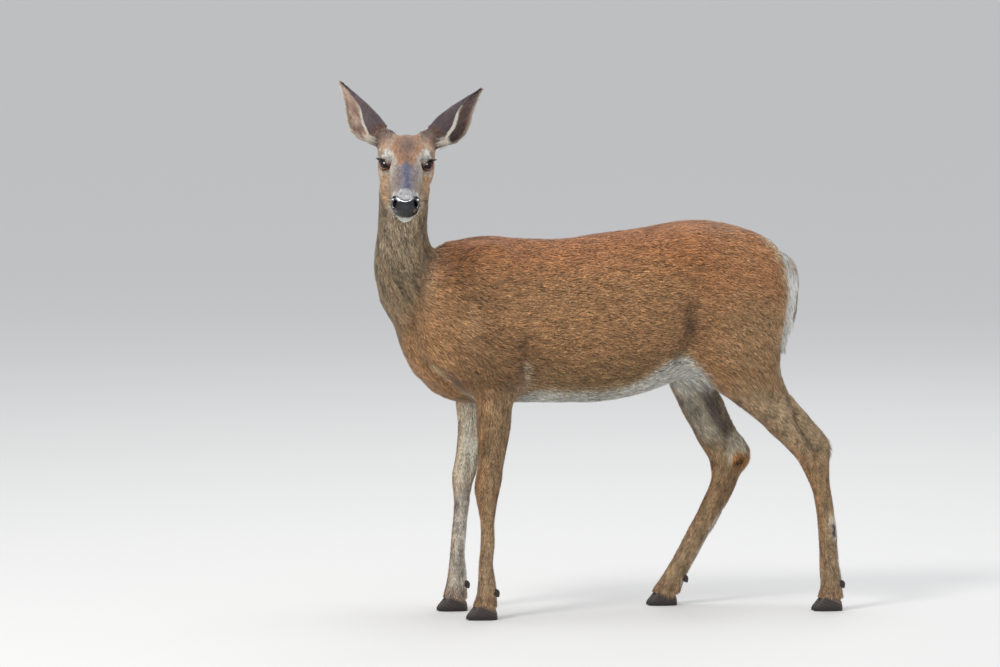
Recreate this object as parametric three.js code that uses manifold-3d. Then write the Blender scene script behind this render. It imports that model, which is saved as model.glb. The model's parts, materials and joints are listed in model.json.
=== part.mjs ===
// White-tailed deer doe, standing and looking over her left shoulder. Millimetres, +Z up, nose of the
// body along -X, her left side along -Y. The body is one smooth form (lofts and muscle ellipsoids
// blended together); every node is cast from that form along its own spine and parted by thin cuts.
import * as THREE from "three";
import Module from "manifold-3d";

const wasm = await Module();
wasm.setup();

// ---------------------------------------------------------------- driving sizes
const GAP = 0.3; // parting gap between touching nodes
const LAP = 12; // neighbouring casts lap by this much either side of a cut before the form is made whole and parted
const ORIGIN = [-212.2, 75.36, 0]; // moves the working frame to the middle of the floor print
const WITHERS = 883, CROUP = 916, BRISKET = 500, BELLY = 494; // heights
const EYE_R = 16.5, EYE_SIDE = 43, EYE_AHEAD = 7.5, EYE_UP = 7.5;
const HEAD_YAW = -12, HEAD_PITCH = 30.5, HEAD_ROLL = 1.3; // degrees; she looks square to her left
const HEAD_AT = [-251.1, -150, 1061.48]; // midway between the eyes
const EAR_RIGHT = 176, EAR_LEFT = 178, EAR_SEAM = 10; // ear lengths; height of the parting above the root
const HOOF_HALF = 12, CLEFT = 1.4, CORONET = 33, CORONET_SLOPE = 0.41;
const DEWCLAW = { across: 12, up: 62, size: [8, 5.5, 11] };
const COAT = { summer: "#9a6038", neck: "#9c7c5c", leg: "#a9794d", white: "#e6ded0", horn: "#17130f", ear: "#4b3d3f", eye: "#120b07" };

// ---------------------------------------------------------------- small vector kit
const rad = (d) => (d * Math.PI) / 180;
const add = (a, b, k = 1) => [a[0] + b[0] * k, a[1] + b[1] * k, a[2] + b[2] * k];
const dot = (a, b) => a[0] * b[0] + a[1] * b[1] + a[2] * b[2];
const cross = (a, b) => [a[1] * b[2] - a[2] * b[1], a[2] * b[0] - a[0] * b[2], a[0] * b[1] - a[1] * b[0]];
const unit = (a) => { const l = Math.hypot(...a); return [a[0] / l, a[1] / l, a[2] / l]; };
const mix = (a, b, t) => a.map((v, i) => v * (1 - t) + b[i] * t);
const X = [1, 0, 0], Y = [0, 1, 0], Z = [0, 0, 1];

// ---------------------------------------------------------------- smooth form kit
const smin = (a, b, k) => { const h = Math.max(k - Math.abs(a - b), 0) / k; return Math.min(a, b) - h * h * k * 0.25; };
const smax = (a, b, k) => -smin(-a, -b, k);

// stations resampled by a Catmull-Rom curve over their first column
function resample(tab, k) {
  const n = tab.length, m = tab.map((row, i) => {
    const slope = (a, b) => b.map((v, c) => (v - a[c]) / (b[0] - a[0]));
    if (i === 0) return slope(tab[0], tab[1]);
    if (i === n - 1) return slope(tab[n - 2], tab[n - 1]);
    const w0 = tab[i + 1][0] - row[0], w1 = row[0] - tab[i - 1][0];
    const d0 = slope(tab[i - 1], row), d1 = slope(row, tab[i + 1]);
    return row.map((_, c) => (d0[c] * w0 + d1[c] * w1) / (w0 + w1));
  });
  const out = [];
  for (let i = 0; i < n - 1; i++)
    for (let j = 0; j < k; j++) {
      const t = j / k, h = tab[i + 1][0] - tab[i][0];
      const a = 2 * t ** 3 - 3 * t * t + 1, b = t ** 3 - 2 * t * t + t, c = -2 * t ** 3 + 3 * t * t, d = t ** 3 - t * t;
      out.push(tab[i].map((v, q) => a * v + b * h * m[i][q] + c * tab[i + 1][q] + d * h * m[i + 1][q]));
    }
  out.push(tab[n - 1].slice());
  return out;
}
const at = (T, s) => {
  if (s <= T[0][0]) return T[0];
  if (s >= T[T.length - 1][0]) return T[T.length - 1];
  let lo = 0, hi = T.length - 1;
  while (hi - lo > 1) { const m = (lo + hi) >> 1; if (T[m][0] <= s) lo = m; else hi = m; }
  const t = (s - T[lo][0]) / (T[hi][0] - T[lo][0]);
  return T[lo].map((v, i) => v * (1 - t) + T[hi][i] * t);
};
const reach = (points, lo = [1e9, 1e9, 1e9], hi = [-1e9, -1e9, -1e9]) => {
  for (const p of points) for (let i = 0; i < 3; i++) { lo[i] = Math.min(lo[i], p[i]); hi[i] = Math.max(hi[i], p[i]); }
  return { lo, hi };
};

// a loft: station = along, across centre, up centre, half width, up reach, down reach, roundness up, roundness down, twist
function loft(O, E, tab, cap0, cap1) {
  const T = resample(tab, 10), s0 = T[0][0], s1 = T[T.length - 1][0];
  const corners = [];
  for (const r of T) {
    const R = Math.max(r[3], r[4], r[5]);
    for (const i of [-R, R]) for (const j of [-R, R]) corners.push(add(add(add(O, E[0], r[0]), E[1], r[1] + i), E[2], r[2] + j));
  }
  const form = (s, p, q) => {
    const [, cp, cq, a, bu, bd, nu, nd, psi] = at(T, s);
    const c = Math.cos(rad(psi)), sn = Math.sin(rad(psi)), dp = p - cp, dq = q - cq;
    const u = dp * c - dq * sn, v = dp * sn + dq * c, b = v > 0 ? bu : bd, n = v > 0 ? nu : nd;
    const ua = Math.abs(u) / a + 1e-9, vb = Math.abs(v) / b + 1e-9, S = ua ** n + vb ** n;
    let r = S ** (1 / n), g = r / S, gu = (g * ua ** (n - 1)) / a, gv = (g * vb ** (n - 1)) / b;
    const end = (k) => { const r2 = Math.hypot(r, k); gu *= r / r2; gv *= r / r2; r = r2; };
    if (cap0 > 0) end(Math.max((s0 + cap0 - s) / cap0, 0));
    if (cap1 > 0) end(Math.max((s - s1 + cap1) / cap1, 0));
    return [r, Math.hypot(gu, gv), Math.min(a, bu, bd)];
  };
  return {
    ...reach(corners), T,
    d(P) {
      const L = add(P, O, -1), s = dot(L, E[0]), p = dot(L, E[1]), q = dot(L, E[2]);
      const [r, g, m] = form(s, p, q), [r2] = form(s + 2, p, q), gs = (r2 - r) / 2;
      let d = Math.max((r - 1) / Math.sqrt(g * g + gs * gs + 1e-12), -m);
      if (!cap0) d = Math.max(d, s0 - s);
      if (!cap1) d = Math.max(d, s - s1);
      return d;
    },
  };
}
function muscle(c, r, E = [X, Y, Z]) {
  const ext = [0, 1, 2].map((i) => Math.hypot(E[0][i] * r[0], E[1][i] * r[1], E[2][i] * r[2]));
  return {
    lo: c.map((v, i) => v - ext[i]), hi: c.map((v, i) => v + ext[i]),
    d(P) {
      const L = add(P, c, -1), q = E.map((e) => dot(L, e));
      const k0 = Math.hypot(q[0] / r[0], q[1] / r[1], q[2] / r[2]);
      const k1 = Math.hypot(q[0] / r[0] ** 2, q[1] / r[1] ** 2, q[2] / r[2] ** 2) + 1e-9;
      return k0 < 1e-6 ? -Math.min(...r) : (k0 * (k0 - 1)) / k1;
    },
  };
}

// ---------------------------------------------------------------- trunk, neck, tail
const ALONG_X = [X, Y, Z], ALONG_Z = [Z, Y, X];
const O0 = [0, 0, 0];
// x, top, bottom, widest level, half width, roundness above, roundness below
const TRUNK = [
  [-200, 803, 560, 660, 54, 2.0, 1.9], [-142, 866, 516, 650, 86, 1.7, 1.9], [-95, 877, BRISKET, 650, 100, 1.7, 2.0],
  [-24, WITHERS, 497, 650, 110, 1.7, 2.1], [48, 879, 496, 650, 120, 1.8, 2.2], [143, 876, BELLY, 650, 132, 1.9, 2.3],
  [238, 888, 495, 655, 141, 2.0, 2.3], [334, 899, 512, 675, 139, 2.0, 2.3], [406, 911, 536, 705, 130, 2.0, 2.3],
  [478, CROUP, 563, 730, 121, 2.0, 2.2], [551, 903, 581, 740, 111, 2.0, 2.1], [611, 876, 600, 742, 93, 2.0, 2.0],
  [662, 848, 645, 745, 62, 2.0, 2.0],
];
const trunk = loft(O0, ALONG_X, TRUNK.map(([x, t, b, w, a, nu, nd]) => [x, 0, w, a, t - w, w - b, nu, nd, 0]), 45, 40);
// z, y, x, half width, nape reach, throat reach, roundness x2, twist towards the viewer's side
const NECK = [
  [530, 0, -86, 52, 76, 76, 2, 2, 0], [573, 0, -108, 70, 98, 98, 2, 2, 0], [620, 0, -130, 81, 104, 102, 2, 2, 0],
  [679, 0, -150, 82, 106, 102, 2, 2, 0], [738, -4, -180, 75, 108, 106, 2, 2, 8], [773, -8, -202, 69, 100, 96, 2, 2, 20],
  [809, -14, -222, 63, 92, 88, 2, 2, 32], [856, -24, -234, 59, 82, 80, 2, 2, 47], [903, -36, -238, 56.5, 72, 70, 2, 2, 60],
  [950, -48, -238, 57, 67, 65, 2, 2, 70], [997, -60, -238, 57, 64, 62, 2, 2, 76], [1043, -72, -237, 52, 58, 50, 2, 2, 78],
  [1075, -78, -236, 44, 48, 40, 2, 2, 78],
];
const neck = loft(O0, ALONG_Z, NECK, 45, 30);
const TAIL = [
  [600, 0, 676, 5, 5, 5, 2, 2, 0], [628, 0, 678, 15, 13, 15, 2, 2, 0], [660, 0, 682, 26, 20, 24, 2, 2, 0],
  [700, 0, 685, 35, 27, 28, 2, 2, 0], [745, 0, 686, 38, 29, 30, 2, 2, 0], [790, 0, 683, 36, 29, 32, 2, 2, 0],
  [825, 0, 668, 29, 28, 32, 2, 2, 0], [850, 0, 645, 20, 22, 26, 2, 2, 0],
];
const tail = loft(O0, ALONG_Z, TAIL, 15, 20);

// ---------------------------------------------------------------- legs
// height, side, half width, front edge, rear edge, place of the widest (share from the front), roundness rear, front
const HIND_LEFT = [
  [850, -52, 44, 478, 640, 0.5, 2, 2], [780, -62, 54, 446, 656, 0.5, 2, 2], [700, -70, 55, 428, 658, 0.5, 2, 2],
  [618, -76, 50, 434, 651, 0.48, 2, 2], [559, -79, 45, 464, 653, 0.45, 2, 2], [528, -82, 40, 492, 666, 0.42, 1.8, 2],
  [500, -85, 36, 529, 685, 0.4, 1.7, 2], [464, -88, 31, 577, 717, 0.38, 1.6, 2], [440, -89, 28.5, 606, 739, 0.36, 1.5, 2],
  [420, -90, 27, 625, 757, 0.36, 1.5, 2], [399, -91, 26, 649, 768, 0.38, 1.6, 2], [375, -91, 25.5, 674, 770, 0.42, 1.8, 2],
  [356, -91, 24.5, 691, 769.5, 0.45, 2, 2], [332, -91, 22, 705, 769.5, 0.48, 2, 2], [308, -91, 19.5, 717, 770, 0.5, 2, 2],
  [284, -91, 17.5, 727, 773, 0.5, 2, 2], [249, -91, 16.5, 735, 779, 0.5, 2, 2], [190, -91, 16, 742, 786, 0.5, 2, 2],
  [143, -91, 17, 745, 791, 0.5, 2, 2], [107, -91, 19.5, 746, 795, 0.5, 2, 2], [84, -91, 21, 747, 799, 0.5, 2, 2],
  [55, -91, 21, 748, 802, 0.5, 2, 2], [28, -91, 22, 738, 806, 0.5, 2.2, 2.2],
];
const HIND_RIGHT = [
  [850, 52, 44, 470, 640, 0.5, 2, 2], [780, 62, 54, 440, 650, 0.5, 2, 2], [720, 69, 55, 422, 632, 0.5, 2, 2],
  [660, 73, 52, 414, 604, 0.5, 2, 2], [600, 77, 47, 410, 572, 0.48, 2, 2], [560, 80, 43, 415, 550, 0.45, 2, 2],
  [521, 82, 38.5, 425, 538, 0.43, 1.8, 2], [485, 84, 34.5, 442, 557, 0.42, 1.7, 2], [449, 86, 30.5, 461, 573, 0.4, 1.6, 2],
  [416, 88, 28, 481, 591, 0.38, 1.5, 2], [389, 89, 26.5, 495, 611, 0.38, 1.5, 2], [365, 90, 25.5, 510, 624, 0.4, 1.6, 2],
  [346, 90, 24.5, 522, 623, 0.42, 1.8, 2], [324, 90, 22.5, 528, 613, 0.45, 2, 2], [303, 90, 20, 530, 600, 0.48, 2, 2],
  [275, 90, 17.5, 522, 588, 0.5, 2, 2], [246, 90, 16.5, 508, 574, 0.5, 2, 2], [218, 90, 16, 495, 557, 0.5, 2, 2],
  [181, 90, 16, 474, 534, 0.5, 2, 2], [145, 90, 17, 455, 513, 0.5, 2, 2], [112, 90, 19.5, 437, 495, 0.5, 2, 2],
  [87, 90, 21, 422, 480, 0.5, 2, 2], [59, 90, 21, 403, 466, 0.5, 2, 2], [28, 90, 22, 380, 455, 0.5, 2.2, 2.2],
];
const FORE_LEFT = [
  [640, -70, 38, -110, 66, 0.5, 2, 2], [600, -76, 42, -98, 52, 0.5, 2, 2], [560, -82, 40, -86, 34, 0.5, 2, 2],
  [522, -86, 36, -78, 19, 0.48, 2, 2], [488, -88, 33.5, -76, 11, 0.48, 1.9, 2], [441, -89, 30, -74, 6, 0.48, 1.9, 2],
  [395, -90, 27.5, -72, -3, 0.48, 2, 2], [348, -90, 25.5, -74, -12, 0.48, 2, 2], [325, -90, 25.5, -78, -14, 0.48, 2, 2],
  [302, -90, 25, -80, -19, 0.5, 2, 2], [279, -90, 22.5, -76, -24, 0.5, 2, 2], [255, -90, 19, -71, -28, 0.5, 2, 2],
  [232, -90, 16.5, -67, -31, 0.5, 2, 2], [174, -90, 15.5, -66, -31, 0.5, 2, 2], [127, -90, 16.5, -70, -35, 0.5, 2, 2],
  [104, -90, 19, -71, -32, 0.5, 2, 2], [81, -90, 21, -72, -28, 0.5, 2, 2], [52, -90, 21, -77, -26, 0.5, 2, 2],
  [28, -90, 22, -88, -25, 0.5, 2.2, 2.2],
];
const FORE_RIGHT = [
  [640, 70, 38, -112, 60, 0.5, 2, 2], [600, 76, 41, -104, 44, 0.5, 2, 2], [560, 81, 39, -97, 20, 0.5, 2, 2],
  [522, 84, 35, -91, 2, 0.48, 2, 2], [488, 86, 32, -88, -6, 0.48, 1.9, 2], [441, 87, 28.5, -83, -12, 0.48, 1.9, 2],
  [395, 88, 26, -84, -22, 0.48, 2, 2], [350, 88, 24.5, -90, -34, 0.48, 2, 2], [325, 88, 24.5, -95, -38, 0.48, 2, 2],
  [305, 88, 24, -96, -45, 0.5, 2, 2], [282, 88, 21.5, -94, -50, 0.5, 2, 2], [255, 88, 18, -92, -54, 0.5, 2, 2],
  [232, 88, 16, -93, -57, 0.5, 2, 2], [178, 88, 15, -98, -62, 0.5, 2, 2], [130, 88, 16, -102, -65, 0.5, 2, 2],
  [108, 88, 18.5, -104, -63, 0.5, 2, 2], [85, 88, 20.5, -107, -61, 0.5, 2, 2], [58, 88, 20.5, -112, -60, 0.5, 2, 2],
  [28, 88, 22, -122, -59, 0.5, 2.2, 2.2],
];
const legLoft = (rows) => loft(O0, ALONG_Z, rows.map(([z, y, a, f, r, w, nr, nf]) => {
  const c = f + (r - f) * w; return [z, y, c, a, r - c, c - f, nr, nf, 0];
}).sort((p, q) => p[0] - q[0]), 0, 40);
// feet: middle of each foot on the floor
const LEGS = {
  foreleg_left: { rows: FORE_LEFT, foot: [-56, -90], claw: "fore_left" },
  foreleg_right: { rows: FORE_RIGHT, foot: [-90, 88], claw: "fore_right" },
  hindleg_left: { rows: HIND_LEFT, foot: [771, -91], claw: "hind_left" },
  hindleg_right: { rows: HIND_RIGHT, foot: [416, 90], claw: "hind_right" },
};
// one toe of a foot: x, half width, top, distance of its middle line from the cleft
const TOE = [[-42, 3.5, 9, 8.8], [-34, 7, 17, 10.4], [-22, 10, 31, 11.8], [-8, 11.6, 43, 12.6], [8, HOOF_HALF, 44, 12.8], [20, 11, 36, 12], [29, 7, 22, 10]];
const toeLoft = (fx, fy, side) => loft([fx, fy, 0], ALONG_X, TOE.map(([x, a, top, m]) => [x, side * m, 4, a, top - 4, 15, 1.8, 2, 0]), 5, 7);
for (const leg of Object.values(LEGS)) {
  leg.form = legLoft(leg.rows);
  leg.toes = [-1, 1].map((s) => toeLoft(leg.foot[0], leg.foot[1], s));
}

// ---------------------------------------------------------------- head
const cp = Math.cos(rad(HEAD_PITCH)), sp = Math.sin(rad(HEAD_PITCH)), cy = Math.cos(rad(HEAD_YAW)), sy = Math.sin(rad(HEAD_YAW));
const XH = [cp * sy, -cp * cy, -sp], y0 = [cy, sy, 0], z0 = cross(XH, y0);
const YH = add(y0.map((v) => v * Math.cos(rad(HEAD_ROLL))), z0, -Math.sin(rad(HEAD_ROLL))), ZH = cross(XH, YH);
const EH = [XH, YH, ZH];
const hp = (x, y, z) => add(add(add(HEAD_AT, XH, x), YH, y), ZH, z);
// x, top, bottom, widest level, half width, roundness x2
const HEAD = [
  [-106, -4, -52, -26, 38, 2, 2], [-82, 19, -68, -20, 50, 2.1, 2], [-55, 36, -80, -18, 56, 2.2, 2.1], [-25, 46, -84, -20, 58, 2.3, 2.2],
  [5, 47, -81, -20, 55.5, 2.3, 2.2], [35, 43, -72, -18, 46.5, 2.2, 2.2], [65, 35, -64, -14, 38, 2.1, 2.2], [95, 28, -57, -12, 33, 2.1, 2.2],
  [120, 23, -52, -12, 31, 2.1, 2.2], [145, 18, -48, -14, 31, 2.2, 2.2], [160, 11, -44, -15, 29, 2.2, 2.2],
];
const head = loft(HEAD_AT, EH, HEAD.map(([x, t, b, w, a, nu, nd]) => [x, 0, w, a, t - w, w - b, nu, nd, 0]), 30, 28);
const faceForms = [];
for (const s of [-1, 1]) {
  faceForms.push([muscle(hp(-30, s * 36, -36), [44, 23, 38], EH), 20]); // cheek
  faceForms.push([muscle(hp(-16, s * 40, 16), [34, 21, 20], EH), 20]); // brow
  faceForms.push([muscle(hp(-48, s * 47, 4), [30, 16, 24], EH), 20]); // temple
  faceForms.push([muscle(hp(10, s * 40, -16), [34, 16, 12], EH), 20]); // cheekbone
  faceForms.push([muscle(hp(149, s * 21, -12), [18, 13, 15.5], EH), 8]); // nostril wing
  faceForms.push([muscle(hp(118, s * 21, -30), [36, 12, 17], EH), 12]); // upper lip
}
faceForms.push([muscle(hp(-44, 0, -3), [54, 44, 40], EH), 15]); // skull
faceForms.push([muscle(hp(151, 0, -10), [19.5, 28, 22], EH), 8]); // nose
faceForms.push([muscle(hp(141, 0, -31.5), [23, 25.5, 17.5], EH), 10]); // front of the lip
faceForms.push([muscle(hp(129, 0, -51.5), [26, 18.5, 12], EH), 8]); // chin

const EYES = [-1, 1].map((s) => {
  const C = hp(EYE_AHEAD, s * EYE_SIDE, EYE_UP), A = unit(add(add(XH.map((v) => v * 0.72), YH, s * 0.68), ZH, 0.13));
  const V = unit(add(ZH, A, -dot(ZH, A))); let H = cross(V, A); if (dot(H, XH) < 0) H = H.map((v) => -v);
  return { C, A, H, V, name: s < 0 ? "eye_right" : "eye_left" };
});

// ---------------------------------------------------------------- ears
// seen square to the face: right and up across it, then back
const VIEW_R = [Math.cos(rad(-12)), Math.sin(rad(-12)), 0];
const VIEW_B = [Math.sin(rad(-12)) * Math.cos(rad(4.5)), -Math.cos(rad(-12)) * Math.cos(rad(4.5)), Math.sin(rad(4.5))];
const VIEW_U = cross(VIEW_B, VIEW_R);
// height, centre out, centre forward, half width, half depth, front margin and rear margin (degrees from the inner side), thickness
const EAR = (wide) => [
  [-22, -2, 0, 22, 22, 179, 179, 7], [-4, -1, 0, 23, 22, 176, 178, 6], [14, 5, 0, 27, 22, 150, 176, 5], [33, 11, 0, 30.5, 21, 112, 174, 4.6],
  [54, 15.5, 1, 35 * wide, 19, 94, 170, 4.2], [77, 14.5, 2, 32 * wide, 16.5, 76, 168, 4], [101, 10.5, 2, 25 * wide, 13, 60, 165, 3.8],
  [117, 7, 1.5, 18.5 * wide, 10.5, 56, 163, 3.6], [138, 3.5, 1, 11 * wide, 6.5, 48, 160, 3.4], [155, 1.5, 0.5, 5.5, 3.6, 44, 155, 3.2],
  [168, 0.3, 0, 2.2, 1.6, 60, 150, 2.8],
];
function earFrame(name, O, dx, dy, lean, side, length, wide) {
  const n = Math.hypot(dx, dy);
  const flat = add(VIEW_R.map((v) => (v * dx) / n), VIEW_U, dy / n);
  const A = add(flat.map((v) => v * Math.cos(rad(lean))), VIEW_B, -Math.sin(rad(lean)));
  const F = unit(add(VIEW_B, A, -dot(VIEW_B, A)));
  let W = cross(A, F); if (dot(W, VIEW_R) * side < 0) W = W.map((v) => -v);
  const k = length / 171;
  return { name, O, A, W, F, side, T: resample(EAR(wide).map((r) => [r[0] * k, ...r.slice(1)]), 6) };
}
const EARS = [
  earFrame("ear_right", hp(-60, -46, 24), -45.5, 57.5, 12, -1, EAR_RIGHT, 1),
  earFrame("ear_left", hp(-60, 46, 24), 54, 52, 12, 1, EAR_LEFT, 1.05),
];
// the root of an ear, filled: the head carries it up to the seam
const earRoot = (e) => loft(e.O, [e.A, e.W, e.F], [-22, -4, 14, 33].map((h, i) => {
  const r = EAR(1)[i]; return [h, r[1], r[2], r[3] + r[7] / 2, r[4] + r[7] / 2, r[4] + r[7] / 2, 2, 2, 0];
}), 0, 0);

// ---------------------------------------------------------------- the whole form
const body = [[trunk, 30], [neck, 35]];
for (const s of [-1, 1]) {
  const t = rad(-20), tilt = [[Math.cos(t), 0, Math.sin(t)], Y, [-Math.sin(t), 0, Math.cos(t)]];
  body.push([muscle([-75, s * 60, 725], [85, 44, 150], tilt), 60]); // shoulder blade
  body.push([muscle([-30, s * 74, 615], [95, 42, 90]), 50]); // upper arm
  body.push([muscle([-140, s * 60, 640], [58, 40, 70]), 45]); // point of the shoulder
  body.push([muscle([450, s * 70, 835], [65, 36, 50]), 60]); // hip
  body.push([muscle([575, s * 55, 780], [90, 48, 100]), 60]); // rump
}
for (const name of ["hindleg_left", "hindleg_right"]) body.push([LEGS[name].form, 35]);
for (const name of ["foreleg_left", "foreleg_right"]) body.push([LEGS[name].form, 30]);
for (const leg of Object.values(LEGS)) for (const toe of leg.toes) body.push([toe, 6]);
body.push([head, 30], ...faceForms);
for (const e of EARS) body.push([earRoot(e), 12]);
body.push([tail, 20]);

function whole(P) {
  let d = 1000;
  for (const [f, k] of body) {
    const m = k * 1.02 + 4;
    if (P[0] < f.lo[0] - m || P[0] > f.hi[0] + m || P[1] < f.lo[1] - m || P[1] > f.hi[1] + m || P[2] < f.lo[2] - m || P[2] > f.hi[2] + m) continue;
    d = smin(d, f.d(P), k);
  }
  for (const { C, A, H, V } of EYES) { // shallow orbit, then the lids over the eyeball
    const Q = add(P, C, -1), R = Math.hypot(...Q);
    if (R > 45) continue;
    const a = dot(Q, A), h = dot(Q, H), v = dot(Q, V);
    d = smax(d, -(Math.hypot((a - 12) / 16, h / 24, v / 19) - 1) * 16, 10);
    d = smin(d, R - (EYE_R + 3), 6);
  }
  return d;
}

// ---------------------------------------------------------------- casting and cutting
// rings of rays from a spine, the first way out of the form, with a fan of rings closing each end
function cast(form, spine, axis, up, n, fan, far) {
  const e1 = unit(axis), e2 = unit(add(up, e1, -dot(up, e1))), e3 = cross(e1, e2);
  const out = (c, dir) => {
    let lo = 0, hi = far, step = far / 48;
    for (let r = step; r <= far + 1e-6; r += step) if (form(add(c, dir, r)) > 0) { hi = r; lo = r - step; break; } else lo = r;
    if (lo >= far - 1e-6) return add(c, dir, far);
    for (let i = 0; i < 18; i++) { const m = (lo + hi) / 2; if (form(add(c, dir, m)) > 0) hi = m; else lo = m; }
    return add(c, dir, (lo + hi) / 2);
  };
  const pos = [], rings = [];
  const ring = (c, lat) => {
    const row = [];
    for (let j = 0; j < n; j++) {
      const t = (2 * Math.PI * j) / n, side = add(e2.map((v) => v * Math.cos(t)), e3, Math.sin(t));
      row.push(pos.length); pos.push(out(c, unit(add(side.map((v) => v * Math.cos(lat)), e1, Math.sin(lat)))));
    }
    rings.push(row);
  };
  const first = spine[0], last = spine[spine.length - 1];
  const p0 = pos.push(out(first, e1.map((v) => -v))) - 1;
  for (let i = fan; i >= 1; i--) ring(first, -(i / (fan + 1)) * (Math.PI / 2));
  for (const c of spine) ring(c, 0);
  for (let i = 1; i <= fan; i++) ring(last, (i / (fan + 1)) * (Math.PI / 2));
  const p1 = pos.push(out(last, e1)) - 1;
  const tri = [];
  for (let j = 0; j < n; j++) {
    const k = (j + 1) % n;
    tri.push([p0, rings[0][k], rings[0][j]], [p1, rings[rings.length - 1][j], rings[rings.length - 1][k]]);
    for (let i = 0; i + 1 < rings.length; i++) {
      const a = rings[i][j], b = rings[i][k], c = rings[i + 1][k], d = rings[i + 1][j];
      const dist = (p, q) => Math.hypot(...add(pos[p], pos[q], -1));
      if (dist(a, c) <= dist(b, d)) tri.push([a, b, c], [a, c, d]); else tri.push([a, b, d], [b, c, d]);
    }
  }
  return solid(pos, tri);
}
function solid(pos, tri) {
  const m = new wasm.Manifold(new wasm.Mesh({ numProp: 3, vertProperties: new Float32Array(pos.flat()), triVerts: new Uint32Array(tri.flat()) }));
  return m.volume() < 0 ? new wasm.Manifold(new wasm.Mesh({ numProp: 3, vertProperties: new Float32Array(pos.flat()), triVerts: new Uint32Array(tri.map(([a, b, c]) => [a, c, b]).flat()) })) : m;
}
// a convex block from its eight corners: x, y and z limits in a frame
function block(O, E, lo, hi) {
  const pos = [];
  for (const z of [lo[2], hi[2]]) for (const y of [lo[1], hi[1]]) for (const x of [lo[0], hi[0]]) pos.push(add(add(add(O, E[0], x), E[1], y), E[2], z));
  return solid(pos, [[0, 2, 1], [1, 2, 3], [4, 5, 6], [5, 7, 6], [0, 1, 4], [1, 5, 4], [2, 6, 3], [3, 6, 7], [0, 4, 2], [2, 4, 6], [1, 3, 5], [3, 7, 5]]);
}
// everything on the side of a plane that its normal points to
function side(point, normal) {
  const n = unit(normal), a = unit(cross(n, Math.abs(n[1]) < 0.9 ? Y : X)), b = cross(n, a);
  return block(point, [n, a, b], [0, -2500, -2500], [2500, 2500, 2500]);
}
const plane = (p, n) => { const u = unit(n); return { p, n: u, d: (P) => dot(add(P, p, -1), u) }; }; // distance is positive on the normal's side
function ellipsoid(c, r, E, rows, cols) {
  const pos = [], tri = [], at2 = (a, b) => 1 + (a - 1) * cols + (b % cols);
  const put = (x, y, z) => pos.push(add(add(add(c, E[0], x * r[0]), E[1], y * r[1]), E[2], z * r[2]));
  put(1, 0, 0);
  for (let i = 1; i < rows; i++) for (let j = 0; j < cols; j++) {
    const a = (Math.PI * i) / rows, b = (2 * Math.PI * j) / cols; put(Math.cos(a), Math.sin(a) * Math.cos(b), Math.sin(a) * Math.sin(b));
  }
  put(-1, 0, 0);
  for (let j = 0; j < cols; j++) {
    tri.push([0, at2(1, j), at2(1, j + 1)], [pos.length - 1, at2(rows - 1, j + 1), at2(rows - 1, j)]);
    for (let i = 1; i < rows - 1; i++) tri.push([at2(i, j), at2(i + 1, j), at2(i + 1, j + 1)], [at2(i, j), at2(i + 1, j + 1), at2(i, j + 1)]);
  }
  return solid(pos, tri);
}

// ---------------------------------------------------------------- where the nodes part
const HEAD_CUT = plane([-240, -115, 950], [-0.159, -0.749, 0.643]); // from the throat up to the nape, normal towards the head
const NECK_CUT = plane([-150, 0, 860], [-0.914, 0, 0.403]); // normal towards the neck
const TAIL_CUT = plane([671, 0, 740], [1, 0, 0.02]);
const shift = (pl, k) => add(pl.p, pl.n, k);
const keep = (m, pl, k = 0) => m.intersect(side(shift(pl, k), pl.n));
const drop = (m, pl, k = 0) => m.intersect(side(shift(pl, -k), pl.n.map((v) => -v)));

// a leg leaves the trunk below a slope that rises outwards, between a front and a rear plane that may lean
const ROOTS = {
  foreleg_left: { front: [-118, -118], rear: [66, 40], in: 42, z: 500, rise: 42, s: -1 },
  foreleg_right: { front: [-130, -150], rear: [52, 20], in: 42, z: 500, rise: 42, s: 1 },
  hindleg_left: { front: [446, 560], rear: [720, 900], in: 22, z: 556, rise: 38, s: -1 },
  hindleg_right: { front: [402, 350], rear: [700, 560], in: 22, z: 548, rise: 38, s: 1 },
};
function rootPlanes({ front, rear, in: inner, z, rise, s }) { // normals point out of the leg's own space
  const t = rad(rise);
  return [plane([0, s * inner, z], [0, -s * Math.sin(t), Math.cos(t)]),
    plane([front[0], 0, z], [-z, 0, -(front[1] - front[0])]), plane([rear[0], 0, z], [z, 0, rear[1] - rear[0]]), plane([0, s * 5, z], [0, -s, 0])];
}
const rootBlock = (root, grow) => rootPlanes(root).map((p) => side(shift(p, grow), p.n.map((v) => -v))).reduce((a, b) => a.intersect(b));
const rootForm = (root, grow) => { const ps = rootPlanes(root); return (P) => Math.max(...ps.map((p) => p.d(P))) - grow; };

const earSeams = EARS.map((e) => plane(add(e.O, e.A, EAR_SEAM), e.A));
const headSpine = [-74, -60, -47, -34, -22, -11, 0, 11, 24, 40, 58, 78, 98, 117, 132, 144].map((x) => hp(x, 0, -18 + 0.02 * x));
const neckSpine = [750, 780, 810, 838, 866, 895, 926, 958].map((z) => { const r = at(neck.T, z); return [r[2] - (z < 850 ? (850 - z) * 0.1 : 0), r[1], z]; });
const tailSpine = [628, 652, 680, 710, 742, 774, 804, 828].map((z) => [Math.max(at(tail.T, z)[2], 684), 0, z]);
const legZs = {
  fore: [46, 62, 80, 98, 120, 180, 226, 250, 275, 300, 326, 354, 400, 446, 480, 504, 530],
  hind: [46, 62, 80, 98, 120, 175, 228, 262, 292, 322, 350, 376, 402, 432, 468, 504, 536, 564, 592],
};
const legSpine = (name, leg) => legZs[name.slice(0, 4)].map((z) => { const r = at(leg.form.T, z); return [r[2] + (r[4] - r[5]) / 2, r[1], z]; });
const biggest = (m) => m.decompose().sort((a, b) => b.volume() - a.volume())[0];

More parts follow.
